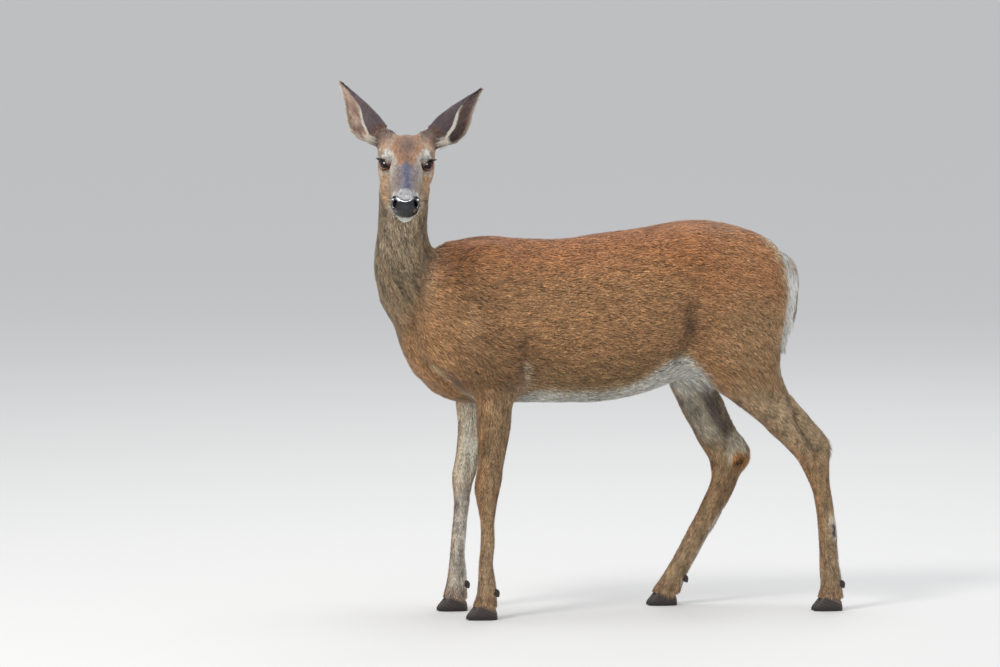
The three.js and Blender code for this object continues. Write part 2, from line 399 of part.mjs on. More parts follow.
const nodes = [];
const node = (name, m, color, rough = 0.85, metal = 0) => nodes.push({ name, m, color, rough, metal });

// every cast runs past its cuts; joined, they are the whole animal, which is then parted
const headCast = cast((P) => Math.max(whole(P), -HEAD_CUT.d(P) - LAP, ...earSeams.map((s) => s.d(P) - 3)), headSpine, XH, ZH, 22, 3, 130);
const neckCast = cast((P) => Math.max(whole(P), -NECK_CUT.d(P) - LAP, HEAD_CUT.d(P) - LAP), neckSpine, Z, X, 16, 3, 210);
const tailCast = cast((P) => Math.max(whole(P), -TAIL_CUT.d(P) - 8), tailSpine, Z, X, 10, 1, 90);
// trunk: rings crowd where a leg leaves it
const rootForms = Object.values(ROOTS).map((r) => rootForm(r, -LAP));
const trunkForm = (P) => Math.max(whole(P), NECK_CUT.d(P) - LAP, TAIL_CUT.d(P) - 8, ...rootForms.map((f) => -f(P)));
const trunkXs = [-134, -116, -92, -64, -34, 0, 34, 64, 100, 145, 190, 235, 280, 325, 366, 398, 424, 452, 486, 520, 550, 574];
const trunkCast = cast(trunkForm, trunkXs.map((x) => [x, 0, 700 + 0.08 * Math.max(0, x)]), X, Z, 26, 4, 330);
const neckAndHead = neckCast.add(headCast);
let trunkM = drop(trunkCast.add(neckCast), NECK_CUT, GAP / 2);
const legPieces = {};
for (const [name, leg] of Object.entries(LEGS)) {
  const [fx, fy] = leg.foot, root = rootForm(ROOTS[name], LAP);
  leg.coronet = plane([fx, fy, CORONET], [CORONET_SLOPE, 0, 1]); // normal upwards
  const legCast = cast((P) => Math.max(whole(P), root(P), -leg.coronet.d(P) - 5), legSpine(name, leg), Z, X, 12, 2, 190);
  legPieces[name] = legCast.add(trunkCast).intersect(rootBlock(ROOTS[name], -GAP / 2));
  trunkM = trunkM.add(legCast).subtract(rootBlock(ROOTS[name], GAP / 2));
}
trunkM = drop(trunkM, TAIL_CUT, GAP / 2);
node("trunk", biggest(trunkM), COAT.summer);
node("neck", biggest(drop(keep(neckAndHead.add(trunkCast), NECK_CUT, GAP / 2), HEAD_CUT, GAP / 2)), COAT.neck);
node("tail", biggest(keep(tailCast, TAIL_CUT, GAP / 2)), COAT.white);

// head, parted from the nose by an ellipsoid and from the ears by their seams
let headM = keep(neckAndHead, HEAD_CUT, GAP / 2);
for (const s of earSeams) headM = drop(headM, s, GAP / 2);
const nose = (grow) => ellipsoid(hp(172, 0, -9), [27 + grow, 31 + grow, 21 + grow], EH, 8, 14);
const noseM = headM.intersect(nose(0));
headM = headM.subtract(nose(GAP + 0.1));
// lids: the almond opening is a lens-shaped prism, the eyeball sits behind it
for (const { C, A, H, V, name } of EYES) {
  const N = 6, ring = [];
  for (let i = 0; i < N; i++) ring.push([-15.5 + (31 * i) / N, 1]);
  for (let i = 0; i < N; i++) ring.push([15.5 - (31 * i) / N, -1]);
  const lens = ring.map(([h, s]) => [h, s > 0 ? Math.sqrt(17.6 ** 2 - h * h) - 8.4 : -(Math.sqrt(17.3 ** 2 - h * h) - 7.7)]);
  const pos = [];
  for (const a of [6, 60]) for (const [h, v] of lens) { const w = a > 10 ? 1.5 : 1; pos.push(add(add(add(C, A, a), H, h * w), V, (v + 0.06 * h) * w)); }
  const n = lens.length, tri = [];
  for (let i = 0; i < n; i++) { const j = (i + 1) % n; tri.push([i, j, n + j], [i, n + j, n + i]); if (i > 0 && i < n - 1) tri.push([0, i + 1, i], [n, n + i, n + i + 1]); }
  headM = headM.subtract(solid(pos, tri)).subtract(ellipsoid(C, [EYE_R + GAP + 0.1, EYE_R + GAP + 0.1, EYE_R + GAP + 0.1], [A, H, V], 8, 12));
  node(name, ellipsoid(C, [EYE_R, EYE_R, EYE_R], [A, H, V], 8, 12), COAT.eye, 0.08);
}
node("head", biggest(headM), COAT.neck);
node("nose", biggest(noseM), COAT.horn, 0.35);

// ears: a cupped leaf with real thickness, from the seam to the tip
for (const e of EARS) {
  const hs = [EAR_SEAM + GAP / 2, 20, 33, 48, 65, 84, 102, 119, 135, 149, 160, 168].map((h, i) => (i ? (h * (e.side < 0 ? EAR_RIGHT : EAR_LEFT)) / 171 : h));
  const N = 9, pos = [], rings = [];
  for (const h of hs) {
    const [, wc, fc, a, b, a0, a1, th] = at(e.T, h), row = [];
    const point = (t, off) => { // off the ellipse along its normal
      const ca = Math.cos(t), sa = Math.sin(t), nx = ca / a, ny = sa / b, l = Math.hypot(nx, ny);
      const u = a * ca + (off * nx) / l, v = b * sa + (off * ny) / l;
      return add(add(add(e.O, e.A, h), e.W, wc - u), e.F, fc + v);
    };
    const lo = -rad(a1), hi = rad(a0);
    for (let i = 0; i < N; i++) row.push(pos.push(point(lo + ((hi - lo) * i) / (N - 1), th / 2)) - 1);
    for (let i = N - 1; i >= 0; i--) row.push(pos.push(point(lo + ((hi - lo) * i) / (N - 1), -Math.min(th / 2, b * 0.45))) - 1);
    rings.push(row);
  }
  const M = 2 * N, tri = [];
  for (let i = 0; i + 1 < rings.length; i++) for (let j = 0; j < M; j++) { const k = (j + 1) % M; tri.push([rings[i][j], rings[i][k], rings[i + 1][k]], [rings[i][j], rings[i + 1][k], rings[i + 1][j]]); }
  for (const [row, f] of [[rings[0], 1], [rings[rings.length - 1], 0]]) for (let i = 0; i + 1 < N; i++) {
    const a = row[i], b = row[i + 1], c = row[M - 2 - i], d = row[M - 1 - i];
    tri.push(...(f ? [[a, c, b], [a, d, c]] : [[a, b, c], [a, c, d]]));
  }
  node(e.name, solid(pos, tri), COAT.ear);
}

// legs, hooves and dewclaws
for (const [name, leg] of Object.entries(LEGS)) {
  const [fx, fy] = leg.foot, { coronet } = leg;
  let m = biggest(keep(legPieces[name], coronet, GAP / 2));
  const back = at(leg.form.T, DEWCLAW.up);
  for (const s of [-1, 1]) {
    const c = [back[2] + back[4] - 3, fy + s * DEWCLAW.across, DEWCLAW.up], t = rad(28), E = [[Math.cos(t), 0, Math.sin(t)], Y, [-Math.sin(t), 0, Math.cos(t)]];
    m = m.subtract(ellipsoid(c, DEWCLAW.size.map((v) => v + GAP + 0.1), E, 5, 7));
    node(`dewclaw_${leg.claw}_${s * fy > 0 ? "outer" : "inner"}`, ellipsoid(c, DEWCLAW.size, E, 5, 7), COAT.horn, 0.5);
    // hoof: the foot below the coronet on one side of the cleft, flat on the floor
    const half = plane([fx, fy + s * CLEFT, 0], [0, s, 0]);
    const hoofForm = (P) => Math.max(whole(P), coronet.d(P) - 5, -half.d(P) - 3, -P[2] - 5);
    let h = cast(hoofForm, [-26, -10, 6, 18].map((x) => [fx + x, fy + s * 9, 9]), X, Z, 8, 1, 60);
    h = keep(keep(drop(h, coronet, GAP / 2), half), plane([0, 0, 0], Z));
    node(`hoof_${leg.claw}_${s * fy > 0 ? "outer" : "inner"}`, biggest(h), COAT.horn, 0.45);
  }
  node(name, biggest(m), COAT.leg);
}

// ---------------------------------------------------------------- named meshes
const deer = new THREE.Group();
deer.name = "white_tailed_deer_doe";
for (const { name, m, color, rough, metal } of nodes) {
  const mesh = m.getMesh(), n = mesh.numProp, v = new Float32Array(mesh.numVert * 3);
  for (let i = 0; i < mesh.numVert; i++) for (let c = 0; c < 3; c++) v[i * 3 + c] = mesh.vertProperties[i * n + c] + ORIGIN[c];
  const g = new THREE.BufferGeometry().setAttribute("position", new THREE.BufferAttribute(v, 3)).setIndex(new THREE.BufferAttribute(mesh.triVerts, 1));
  g.computeVertexNormals();
  const part = new THREE.Mesh(g, new THREE.MeshStandardMaterial({ color, roughness: rough, metalness: metal }));
  part.name = name;
  deer.add(part);
}
export default deer;
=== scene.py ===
# White-tailed deer doe: skin, coat, eyes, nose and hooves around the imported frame.
import bpy, bmesh, json, math, time
import numpy as np
from mathutils import Matrix, Vector

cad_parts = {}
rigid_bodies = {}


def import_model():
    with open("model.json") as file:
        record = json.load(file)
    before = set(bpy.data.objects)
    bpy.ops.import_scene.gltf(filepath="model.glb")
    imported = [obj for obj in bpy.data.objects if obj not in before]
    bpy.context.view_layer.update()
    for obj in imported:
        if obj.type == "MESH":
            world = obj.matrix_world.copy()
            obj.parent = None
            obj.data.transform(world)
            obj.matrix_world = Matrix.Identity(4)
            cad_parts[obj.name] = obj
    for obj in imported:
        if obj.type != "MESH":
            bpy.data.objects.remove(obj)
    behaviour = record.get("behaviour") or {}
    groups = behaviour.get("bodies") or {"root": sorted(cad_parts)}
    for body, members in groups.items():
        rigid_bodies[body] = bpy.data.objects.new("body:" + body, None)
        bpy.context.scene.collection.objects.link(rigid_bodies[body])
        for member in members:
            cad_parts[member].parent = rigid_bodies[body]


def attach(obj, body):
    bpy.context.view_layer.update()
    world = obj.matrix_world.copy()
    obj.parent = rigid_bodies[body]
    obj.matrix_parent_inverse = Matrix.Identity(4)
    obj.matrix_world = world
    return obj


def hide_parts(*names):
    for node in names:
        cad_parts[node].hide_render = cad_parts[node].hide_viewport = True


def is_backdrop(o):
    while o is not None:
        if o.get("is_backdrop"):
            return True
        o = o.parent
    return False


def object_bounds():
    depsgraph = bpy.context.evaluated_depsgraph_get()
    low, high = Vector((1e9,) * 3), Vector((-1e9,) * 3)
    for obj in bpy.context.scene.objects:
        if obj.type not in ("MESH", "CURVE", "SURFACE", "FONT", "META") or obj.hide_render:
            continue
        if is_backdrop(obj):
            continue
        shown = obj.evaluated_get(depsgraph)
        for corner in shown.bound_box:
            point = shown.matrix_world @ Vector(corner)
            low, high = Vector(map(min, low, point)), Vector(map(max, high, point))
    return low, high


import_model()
T0 = time.time()
def log(*a): print("[%6.1f]" % (time.time() - T0), *a, flush=True)
cad_lo, cad_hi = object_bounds()
RNG = np.random.default_rng(20260)
ORIGIN = np.array([-0.2122, 0.07536, 0.0])   # working frame -> row frame
MM = 1e-3

# ------------------------------------------------------------------ viewing frame
AZ, EL, DIST, FPX = math.radians(-12.0), math.radians(4.5), 13.5, 5805.0
RIGHT = np.array([math.cos(AZ), math.sin(AZ), 0.0])
BACK = np.array([math.sin(AZ)*math.cos(EL), -math.cos(AZ)*math.cos(EL), math.sin(EL)])
UP = np.cross(BACK, RIGHT)
CAM = np.array([0, 0, 0.6567]) + DIST*BACK

# ------------------------------------------------------------------ smooth form kit
def hermite(tab, k=10):
    T = np.array(tab, float); s = T[:, 0]; n = len(s); m = np.zeros_like(T)
    for i in range(n):
        if i == 0: m[i] = (T[1]-T[0])/(s[1]-s[0])
        elif i == n-1: m[i] = (T[-1]-T[-2])/(s[-1]-s[-2])
        else:
            d0 = (T[i]-T[i-1])/(s[i]-s[i-1]); d1 = (T[i+1]-T[i])/(s[i+1]-s[i])
            w0 = s[i+1]-s[i]; w1 = s[i]-s[i-1]
            m[i] = (d0*w0+d1*w1)/(w0+w1)
    out = []
    for i in range(n-1):
        h = s[i+1]-s[i]
        for j in range(k):
            t = j/k
            out.append((2*t**3-3*t*t+1)*T[i]+(t**3-2*t*t+t)*h*m[i]+(-2*t**3+3*t*t)*T[i+1]+(t**3-t*t)*h*m[i+1])
    out.append(T[-1])
    return np.array(out)
def smin(a, b, k):
    h = np.maximum(k-np.abs(a-b), 0)/k
    return np.minimum(a, b)-h*h*k*0.25
def smax(a, b, k): return -smin(-a, -b, k)
def sstep(a, b, x):
    t = np.clip((x-a)/(b-a), 0, 1); return t*t*(3-2*t)
def unit(v): return v/(np.linalg.norm(v, axis=-1, keepdims=True)+1e-12)

class Loft:
    """station: along, across centre, up centre, half width, up reach, down reach, roundness up and down, twist"""
    def __init__(self, O, E, tab, cap0=0.0, cap1=0.0):
        self.O = np.array(O, float); self.E = np.array(E, float)
        self.T = hermite(tab); self.s0, self.s1 = self.T[0, 0], self.T[-1, 0]
        self.c0, self.c1 = cap0, cap1
        pts = []
        for r in self.T:
            R = max(r[3], r[4], r[5])
            for du in (-R, R):
                for dv in (-R, R):
                    pts.append(self.O + r[0]*self.E[0] + (r[1]+du)*self.E[1] + (r[2]+dv)*self.E[2])
        pts = np.array(pts); self.lo = pts.min(0); self.hi = pts.max(0)
    def at(self, s):
        T = self.T; sc = np.clip(s, self.s0, self.s1)
        i = np.clip(np.searchsorted(T[:, 0], sc, side='right')-1, 0, len(T)-2)
        t = ((sc-T[i, 0])/(T[i+1, 0]-T[i, 0]))[:, None]
        return T[i]*(1-t)+T[i+1]*t
    def r(self, s, p, q):
        cp, cq, a, bu, bd, nu, nd, psi = self.at(s)[:, 1:].T
        ps = np.radians(psi); c, sn = np.cos(ps), np.sin(ps)
        dp, dq = p-cp, q-cq
        u = dp*c-dq*sn; v = dp*sn+dq*c
        b = np.where(v > 0, bu, bd); n = np.where(v > 0, nu, nd)
        ua = np.abs(u)/a+1e-9; vb = np.abs(v)/b+1e-9
        S = ua**n+vb**n; r = S**(1/n); g = r/S
        gu = g*ua**(n-1)/a; gv = g*vb**(n-1)/b
        if self.c0 > 0:
            k = np.maximum((self.s0+self.c0-s)/self.c0, 0); r2 = np.sqrt(r*r+k*k); f = r/r2; r = r2; gu = gu*f; gv = gv*f
        if self.c1 > 0:
            k = np.maximum((s-self.s1+self.c1)/self.c1, 0); r2 = np.sqrt(r*r+k*k); f = r/r2; r = r2; gu = gu*f; gv = gv*f
        return r, np.hypot(gu, gv), np.minimum(a, np.minimum(bu, bd))
    def __call__(self, P):
        L = (P-self.O) @ self.E.T
        s, p, q = L.T; e = 0.002
        r, g, m = self.r(s, p, q); r2, _, _ = self.r(s+e, p, q); gs = (r2-r)/e
        d = np.maximum((r-1)/np.sqrt(g*g+gs*gs+1e-12), -m)
        if self.c0 == 0: d = np.maximum(d, self.s0-s)
        if self.c1 == 0: d = np.maximum(d, s-self.s1)
        return d

class Ell:
    def __init__(self, c, r, R=None):
        self.c = np.array(c, float); self.rad = np.array(r, float)
        self.R = np.eye(3) if R is None else np.array(R, float)
        ext = np.sqrt(((self.R.T*self.rad)**2).sum(1))
        self.lo = self.c-ext; self.hi = self.c+ext
    def __call__(self, P):
        q = ((P-self.c) @ self.R.T)
        k0 = np.sqrt(((q/self.rad)**2).sum(1)); k1 = np.sqrt(((q/self.rad**2)**2).sum(1))+1e-9
        return np.where(k0 < 1e-6, -self.rad.min(), k0*(k0-1)/k1)

class Ear:
    """cupped leaf: height, centre out, centre forward, half width, half depth, front and rear margin angles, thickness"""
    def __init__(self, O, E, tab, side):
        self.O = np.array(O, float); self.E = np.array(E, float); self.side = side
        self.T = hermite(tab, 6); pts = []
        for r in self.T:
            for du in (-r[3], r[3]):
                for dv in (-r[4], r[4]):
                    pts.append(self.O + r[0]*self.E[0] + (r[1]+du)*self.E[1] + (r[2]+dv)*self.E[2])
        pts = np.array(pts); self.lo = pts.min(0)-.003; self.hi = pts.max(0)+.003
    def local(self, P):
        L = (P-self.O) @ self.E.T; h, w, f = L.T; T = self.T
        hc = np.clip(h, T[0, 0], T[-1, 0])
        i = np.clip(np.searchsorted(T[:, 0], hc, side='right')-1, 0, len(T)-2)
        t = ((hc-T[i, 0])/(T[i+1, 0]-T[i, 0]))[:, None]
        V = T[i]*(1-t)+T[i+1]*t
        return h, w, f, hc, V
    def __call__(self, P):
        h, w, f, hc, V = self.local(P)
        wc, fc, A, B, al0, al1, th = V[:, 1:].T
        u = -(w-wc); v = f-fc
        ang = np.arctan2(v/B, u/A); a0 = np.radians(al0); a1 = -np.radians(al1)
        out = (ang > a0) | (ang < a1)
        d0 = np.abs((ang-a0+np.pi) % (2*np.pi)-np.pi); d1 = np.abs((ang-a1+np.pi) % (2*np.pi)-np.pi)
        angc = np.where(out, np.where(d0 < d1, a0, a1), ang)
        r = np.sqrt((u/A)**2+(v/B)**2)+1e-9
        g = np.sqrt((u/A**2)**2+(v/B**2)**2)/r+1e-9
        din = np.minimum(np.abs(r-1)/g, np.maximum(A, B))
        dout = np.hypot(u-A*np.cos(angc), v-B*np.sin(angc))
        d = np.where(out, dout, np.minimum(din, dout+1))
        return np.sqrt(d*d+(h-hc)**2)-th*0.5
    def inside(self, P):
        """>0 in the cup, <0 behind it; and the share of the way from front margin to rear margin"""
        h, w, f, hc, V = self.local(P)
        wc, fc, A, B, al0, al1, th = V[:, 1:].T
        u = -(w-wc); v = f-fc
        r = np.sqrt((u/A)**2+(v/B)**2)
        ang = np.arctan2(v/B, u/A); a0 = np.radians(al0); a1 = -np.radians(al1)
        return (1-r), h, (a0-ang)/(a0-a1)

# ------------------------------------------------------------------ the animal's sizes (millimetres)
def st(rows, scale_cols=(0, 1, 2, 3, 4, 5)):
    T = np.array(rows, float)
    for c in scale_cols: T[:, c] *= MM
    return T
def leg_rows(rows):
    out = []
    for z, y, a, xf, xr, fr, nr, nf in rows:
        xc = xf+(xr-xf)*fr
        out.append((z, y, xc, a, xr-xc, xc-xf, nr, nf, 0))
    return sorted(out)
ALONG_Z = [[0, 0, 1], [0, 1, 0], [1, 0, 0]]
ALONG_X = [[1, 0, 0], [0, 1, 0], [0, 0, 1]]
TRUNK = [(-200,803,560,660,54,2.0,1.9),(-142,866,516,650,86,1.7,1.9),(-95,877,500,650,100,1.7,2.0),(-24,883,497,650,110,1.7,2.1),(48,879,496,650,120,1.8,2.2),(143,876,494,650,132,1.9,2.3),(238,888,495,655,141,2.0,2.3),(334,899,512,675,139,2.0,2.3),(406,911,536,705,130,2.0,2.3),(478,916,563,730,121,2.0,2.2),(551,903,581,740,111,2.0,2.1),(611,876,600,742,93,2.0,2.0),(662,848,645,745,62,2.0,2.0)]
trunk = Loft([0,0,0], ALONG_X, st([(x,0,zc,a,t-zc,zc-b,nu,nd,0) for x,t,b,zc,a,nu,nd in TRUNK]), .045, .040)
NECK = [(530,0,-86,52,76,76,2,2,0),(573,0,-108,70,98,98,2,2,0),(620,0,-130,81,104,102,2,2,0),(679,0,-150,82,106,102,2,2,0),(738,-4,-180,75,108,106,2,2,8),(773,-8,-202,69,100,96,2,2,20),(809,-14,-222,63,92,88,2,2,32),(856,-24,-234,59,82,80,2,2,47),(903,-36,-238,56.5,72,70,2,2,60),(950,-48,-238,57,67,65,2,2,70),(997,-60,-238,57,64,62,2,2,76),(1043,-72,-237,52,58,50,2,2,78),(1075,-78,-236,44,48,40,2,2,78)]
neck = Loft([0,0,0], ALONG_Z, st(NECK), .045, .03)
HIND_L = [(850,-52,44,478,640,.5,2,2),(780,-62,54,446,656,.5,2,2),(700,-70,55,428,658,.5,2,2),(618,-76,50,434,651,.48,2,2),(559,-79,45,464,653,.45,2,2),(528,-82,40,492,666,.42,1.8,2),(500,-85,36,529,685,.40,1.7,2),(464,-88,31,577,717,.38,1.6,2),(440,-89,28.5,606,739,.36,1.5,2),(420,-90,27,625,757,.36,1.5,2),(399,-91,26,649,768,.38,1.6,2),(375,-91,25.5,674,770,.42,1.8,2),(356,-91,24.5,691,769.5,.45,2,2),(332,-91,22,705,769.5,.48,2,2),(308,-91,19.5,717,770,.5,2,2),(284,-91,17.5,727,773,.5,2,2),(249,-91,16.5,735,779,.5,2,2),(190,-91,16,742,786,.5,2,2),(143,-91,17,745,791,.5,2,2),(107,-91,19.5,746,795,.5,2,2),(84,-91,21,747,799,.5,2,2),(55,-91,21,748,802,.5,2,2),(28,-91,22,738,806,.5,2.2,2.2)]
HIND_R = [(850,52,44,470,640,.5,2,2),(780,62,54,440,650,.5,2,2),(720,69,55,422,632,.5,2,2),(660,73,52,414,604,.5,2,2),(600,77,47,410,572,.48,2,2),(560,80,43,415,550,.45,2,2),(521,82,38.5,425,538,.43,1.8,2),(485,84,34.5,442,557,.42,1.7,2),(449,86,30.5,461,573,.40,1.6,2),(416,88,28,481,591,.38,1.5,2),(389,89,26.5,495,611,.38,1.5,2),(365,90,25.5,510,624,.40,1.6,2),(346,90,24.5,522,623,.42,1.8,2),(324,90,22.5,528,613,.45,2,2),(303,90,20,530,600,.48,2,2),(275,90,17.5,522,588,.5,2,2),(246,90,16.5,508,574,.5,2,2),(218,90,16,495,557,.5,2,2),(181,90,16,474,534,.5,2,2),(145,90,17,455,513,.5,2,2),(112,90,19.5,437,495,.5,2,2),(87,90,21,422,480,.5,2,2),(59,90,21,403,466,.5,2,2),(28,90,22,380,455,.5,2.2,2.2)]
FORE_L = [(640,-70,38,-110,66,.5,2,2),(600,-76,42,-98,52,.5,2,2),(560,-82,40,-86,34,.5,2,2),(522,-86,36,-78,19,.48,2,2),(488,-88,33.5,-76,11,.48,1.9,2),(441,-89,30,-74,6,.48,1.9,2),(395,-90,27.5,-72,-3,.48,2,2),(348,-90,25.5,-74,-12,.48,2,2),(325,-90,25.5,-78,-14,.48,2,2),(302,-90,25,-80,-19,.5,2,2),(279,-90,22.5,-76,-24,.5,2,2),(255,-90,19,-71,-28,.5,2,2),(232,-90,16.5,-67,-31,.5,2,2),(174,-90,15.5,-66,-31,.5,2,2),(127,-90,16.5,-70,-35,.5,2,2),(104,-90,19,-71,-32,.5,2,2),(81,-90,21,-72,-28,.5,2,2),(52,-90,21,-77,-26,.5,2,2),(28,-90,22,-88,-25,.5,2.2,2.2)]
FORE_R = [(640,70,38,-112,60,.5,2,2),(600,76,41,-104,44,.5,2,2),(560,81,39,-97,20,.5,2,2),(522,84,35,-91,2,.48,2,2),(488,86,32,-88,-6,.48,1.9,2),(441,87,28.5,-83,-12,.48,1.9,2),(395,88,26,-84,-22,.48,2,2),(350,88,24.5,-90,-34,.48,2,2),(325,88,24.5,-95,-38,.48,2,2),(305,88,24,-96,-45,.5,2,2),(282,88,21.5,-94,-50,.5,2,2),(255,88,18,-92,-54,.5,2,2),(232,88,16,-93,-57,.5,2,2),(178,88,15,-98,-62,.5,2,2),(130,88,16,-102,-65,.5,2,2),(108,88,18.5,-104,-63,.5,2,2),(85,88,20.5,-107,-61,.5,2,2),(58,88,20.5,-112,-60,.5,2,2),(28,88,22,-122,-59,.5,2.2,2.2)]
LEGS = {n: Loft([0,0,0], ALONG_Z, st(leg_rows(t)), .0, .04) for n, t in dict(hindleg_left=HIND_L, hindleg_right=HIND_R, foreleg_left=FORE_L, foreleg_right=FORE_R).items()}
FOOT = {"foreleg_left": (-.056, -.090, "fore_left"), "foreleg_right": (-.090, .088, "fore_right"), "hindleg_left": (.771, -.091, "hind_left"), "hindleg_right": (.416, .090, "hind_right")}
TOE = [(-42,3.5,9,8.8),(-34,7,17,10.4),(-22,10,31,11.8),(-8,11.6,43,12.6),(8,12,44,12.8),(20,11,36,12),(29,7,22,10)]
TOES = {n: [Loft([fx, fy, 0], ALONG_X, st([(x, s*m, 4, a, top-4, 15, 1.8, 2, 0) for x, a, top, m in TOE]), .005, .007) for s in (-1, 1)] for n, (fx, fy, _) in FOOT.items()}
# head frame
HA, HP, ROLL = math.radians(-12.0), math.radians(30.5), math.radians(1.3)
XH = np.array([math.cos(HP)*math.sin(HA), -math.cos(HP)*math.cos(HA), -math.sin(HP)])
Y0 = np.array([math.cos(HA), math.sin(HA), 0.0]); Z0 = np.cross(XH, Y0)
YH = Y0*math.cos(ROLL)-Z0*math.sin(ROLL); ZH = np.cross(XH, YH)
HO = np.array([-.2511, -.150, 1.06148]); EH = np.array([XH, YH, ZH])
def hp(x, y, z): return HO + x*XH + y*YH + z*ZH
HEAD = [(-106,-4,-52,-26,38,2,2),(-82,19,-68,-20,50,2.1,2),(-55,36,-80,-18,56,2.2,2.1),(-25,46,-84,-20,58,2.3,2.2),(5,47,-81,-20,55.5,2.3,2.2),(35,43,-72,-18,46.5,2.2,2.2),(65,35,-64,-14,38,2.1,2.2),(95,28,-57,-12,33,2.1,2.2),(120,23,-52,-12,31,2.1,2.2),(145,18,-48,-14,31,2.2,2.2),(160,11,-44,-15,29,2.2,2.2)]
head = Loft(HO, EH, st([(x,0,zc,a,t-zc,zc-b,nu,nd,0) for x,t,b,zc,a,nu,nd in HEAD]), .03, .028)
def make_ear(O, dx, dy, lean, side, L, wide=1.0):
    n = math.hypot(dx, dy)
    A = (RIGHT*dx/n + UP*dy/n)*math.cos(lean) - BACK*math.sin(lean)
    F = BACK - A*(A@BACK); F /= np.linalg.norm(F)
    W = np.cross(A, F)
    if (W@RIGHT)*side < 0: W = -W
    k = L/171.0
    T = [(-22,-2,0,22,22,179,179,7),(-4,-1,0,23,22,176,178,6),(14,5,0,27,22,150,176,5),(33,11,0,30.5,21,112,174,4.6),(54,15.5,1,35*wide,19,94,170,4.2),(77,14.5,2,32*wide,16.5,76,168,4.0),(101,10.5,2,25*wide,13,60,165,3.8),(117,7,1.5,18.5*wide,10.5,56,163,3.6),(138,3.5,1,11*wide,6.5,48,160,3.4),(155,1.5,.5,5.5,3.6,44,155,3.2),(168,.3,0,2.2,1.6,60,150,2.8)]
    M = np.array([(r[0]*k,)+r[1:] for r in T], float)
    M[:, [0, 1, 2, 3, 4, 7]] *= MM
    return Ear(O, [A, W, F], M, side)
EARS = [make_ear(hp(-.060,-.046,.024), -45.5, 57.5, math.radians(12), -1, 176), make_ear(hp(-.060,.046,.024), 54.0, 52.0, math.radians(12), +1, 178, 1.05)]
tail = Loft([0,0,0], ALONG_Z, st([(600,0,676,5,5,5,2,2,0),(628,0,678,15,13,15,2,2,0),(660,0,682,26,20,24,2,2,0),(700,0,685,35,27,28,2,2,0),(745,0,686,38,29,30,2,2,0),(790,0,683,36,29,32,2,2,0),(825,0,668,29,28,32,2,2,0),(850,0,645,20,22,26,2,2,0)]), .015, .02)

def rotY(deg):
    t = math.radians(deg); return np.array([[math.cos(t),0,math.sin(t)],[0,1,0],[-math.sin(t),0,math.cos(t)]])
BODY = [(trunk, .03), (neck, .035)]
for s in (-1, 1):
    BODY += [(Ell([-.075,s*.060,.725],[.085,.044,.150], rotY(-20)), .06), (Ell([-.030,s*.074,.615],[.095,.042,.090]), .05),
             (Ell([-.140,s*.060,.640],[.058,.040,.070]), .045), (Ell([.450,s*.070,.835],[.065,.036,.050]), .06),
             (Ell([.575,s*.055,.780],[.090,.048,.100]), .06)]
BODY += [(LEGS["hindleg_left"], .035), (LEGS["hindleg_right"], .035), (LEGS["foreleg_left"], .03), (LEGS["foreleg_right"], .03)]
for n in FOOT: BODY += [(t, .006) for t in TOES[n]]
BODY += [(head, .03)]
for s in (-1, 1):
    BODY += [(Ell(hp(-.030,s*.036,-.036),[.044,.023,.038],EH), .02), (Ell(hp(-.016,s*.040,.016),[.034,.021,.020],EH), .02),
             (Ell(hp(-.048,s*.047,.004),[.030,.016,.024],EH), .02), (Ell(hp(.010,s*.040,-.016),[.034,.016,.012],EH), .02),
             (Ell(hp(.149,s*.0210,-.012),[.018,.013,.0155],EH), .008), (Ell(hp(.118,s*.021,-.030),[.036,.012,.017],EH), .012)]
BODY += [(Ell(hp(-.044,0,-.003),[.054,.044,.040],EH), .015), (Ell(hp(.151,0,-.010),[.0195,.028,.022],EH), .008),
         (Ell(hp(.141,0,-.0315),[.023,.0255,.0175],EH), .010), (Ell(hp(.129,0,-.0515),[.026,.0185,.012],EH), .008)]
BODY += [(EARS[0], .012), (EARS[1], .012), (tail, .02)]

EYE_R = .0165
EYES = []
for s in (-1, 1):
    C = hp(.0075, s*.043, .0075)
    A = XH*.72+YH*s*.68+ZH*.13; A /= np.linalg.norm(A)
    V_ = ZH-A*(ZH@A); V_ /= np.linalg.norm(V_); H_ = np.cross(V_, A)
    if H_@XH < 0: H_ = -H_           # towards the nose
    EYES.append((C, A, H_, V_, s))

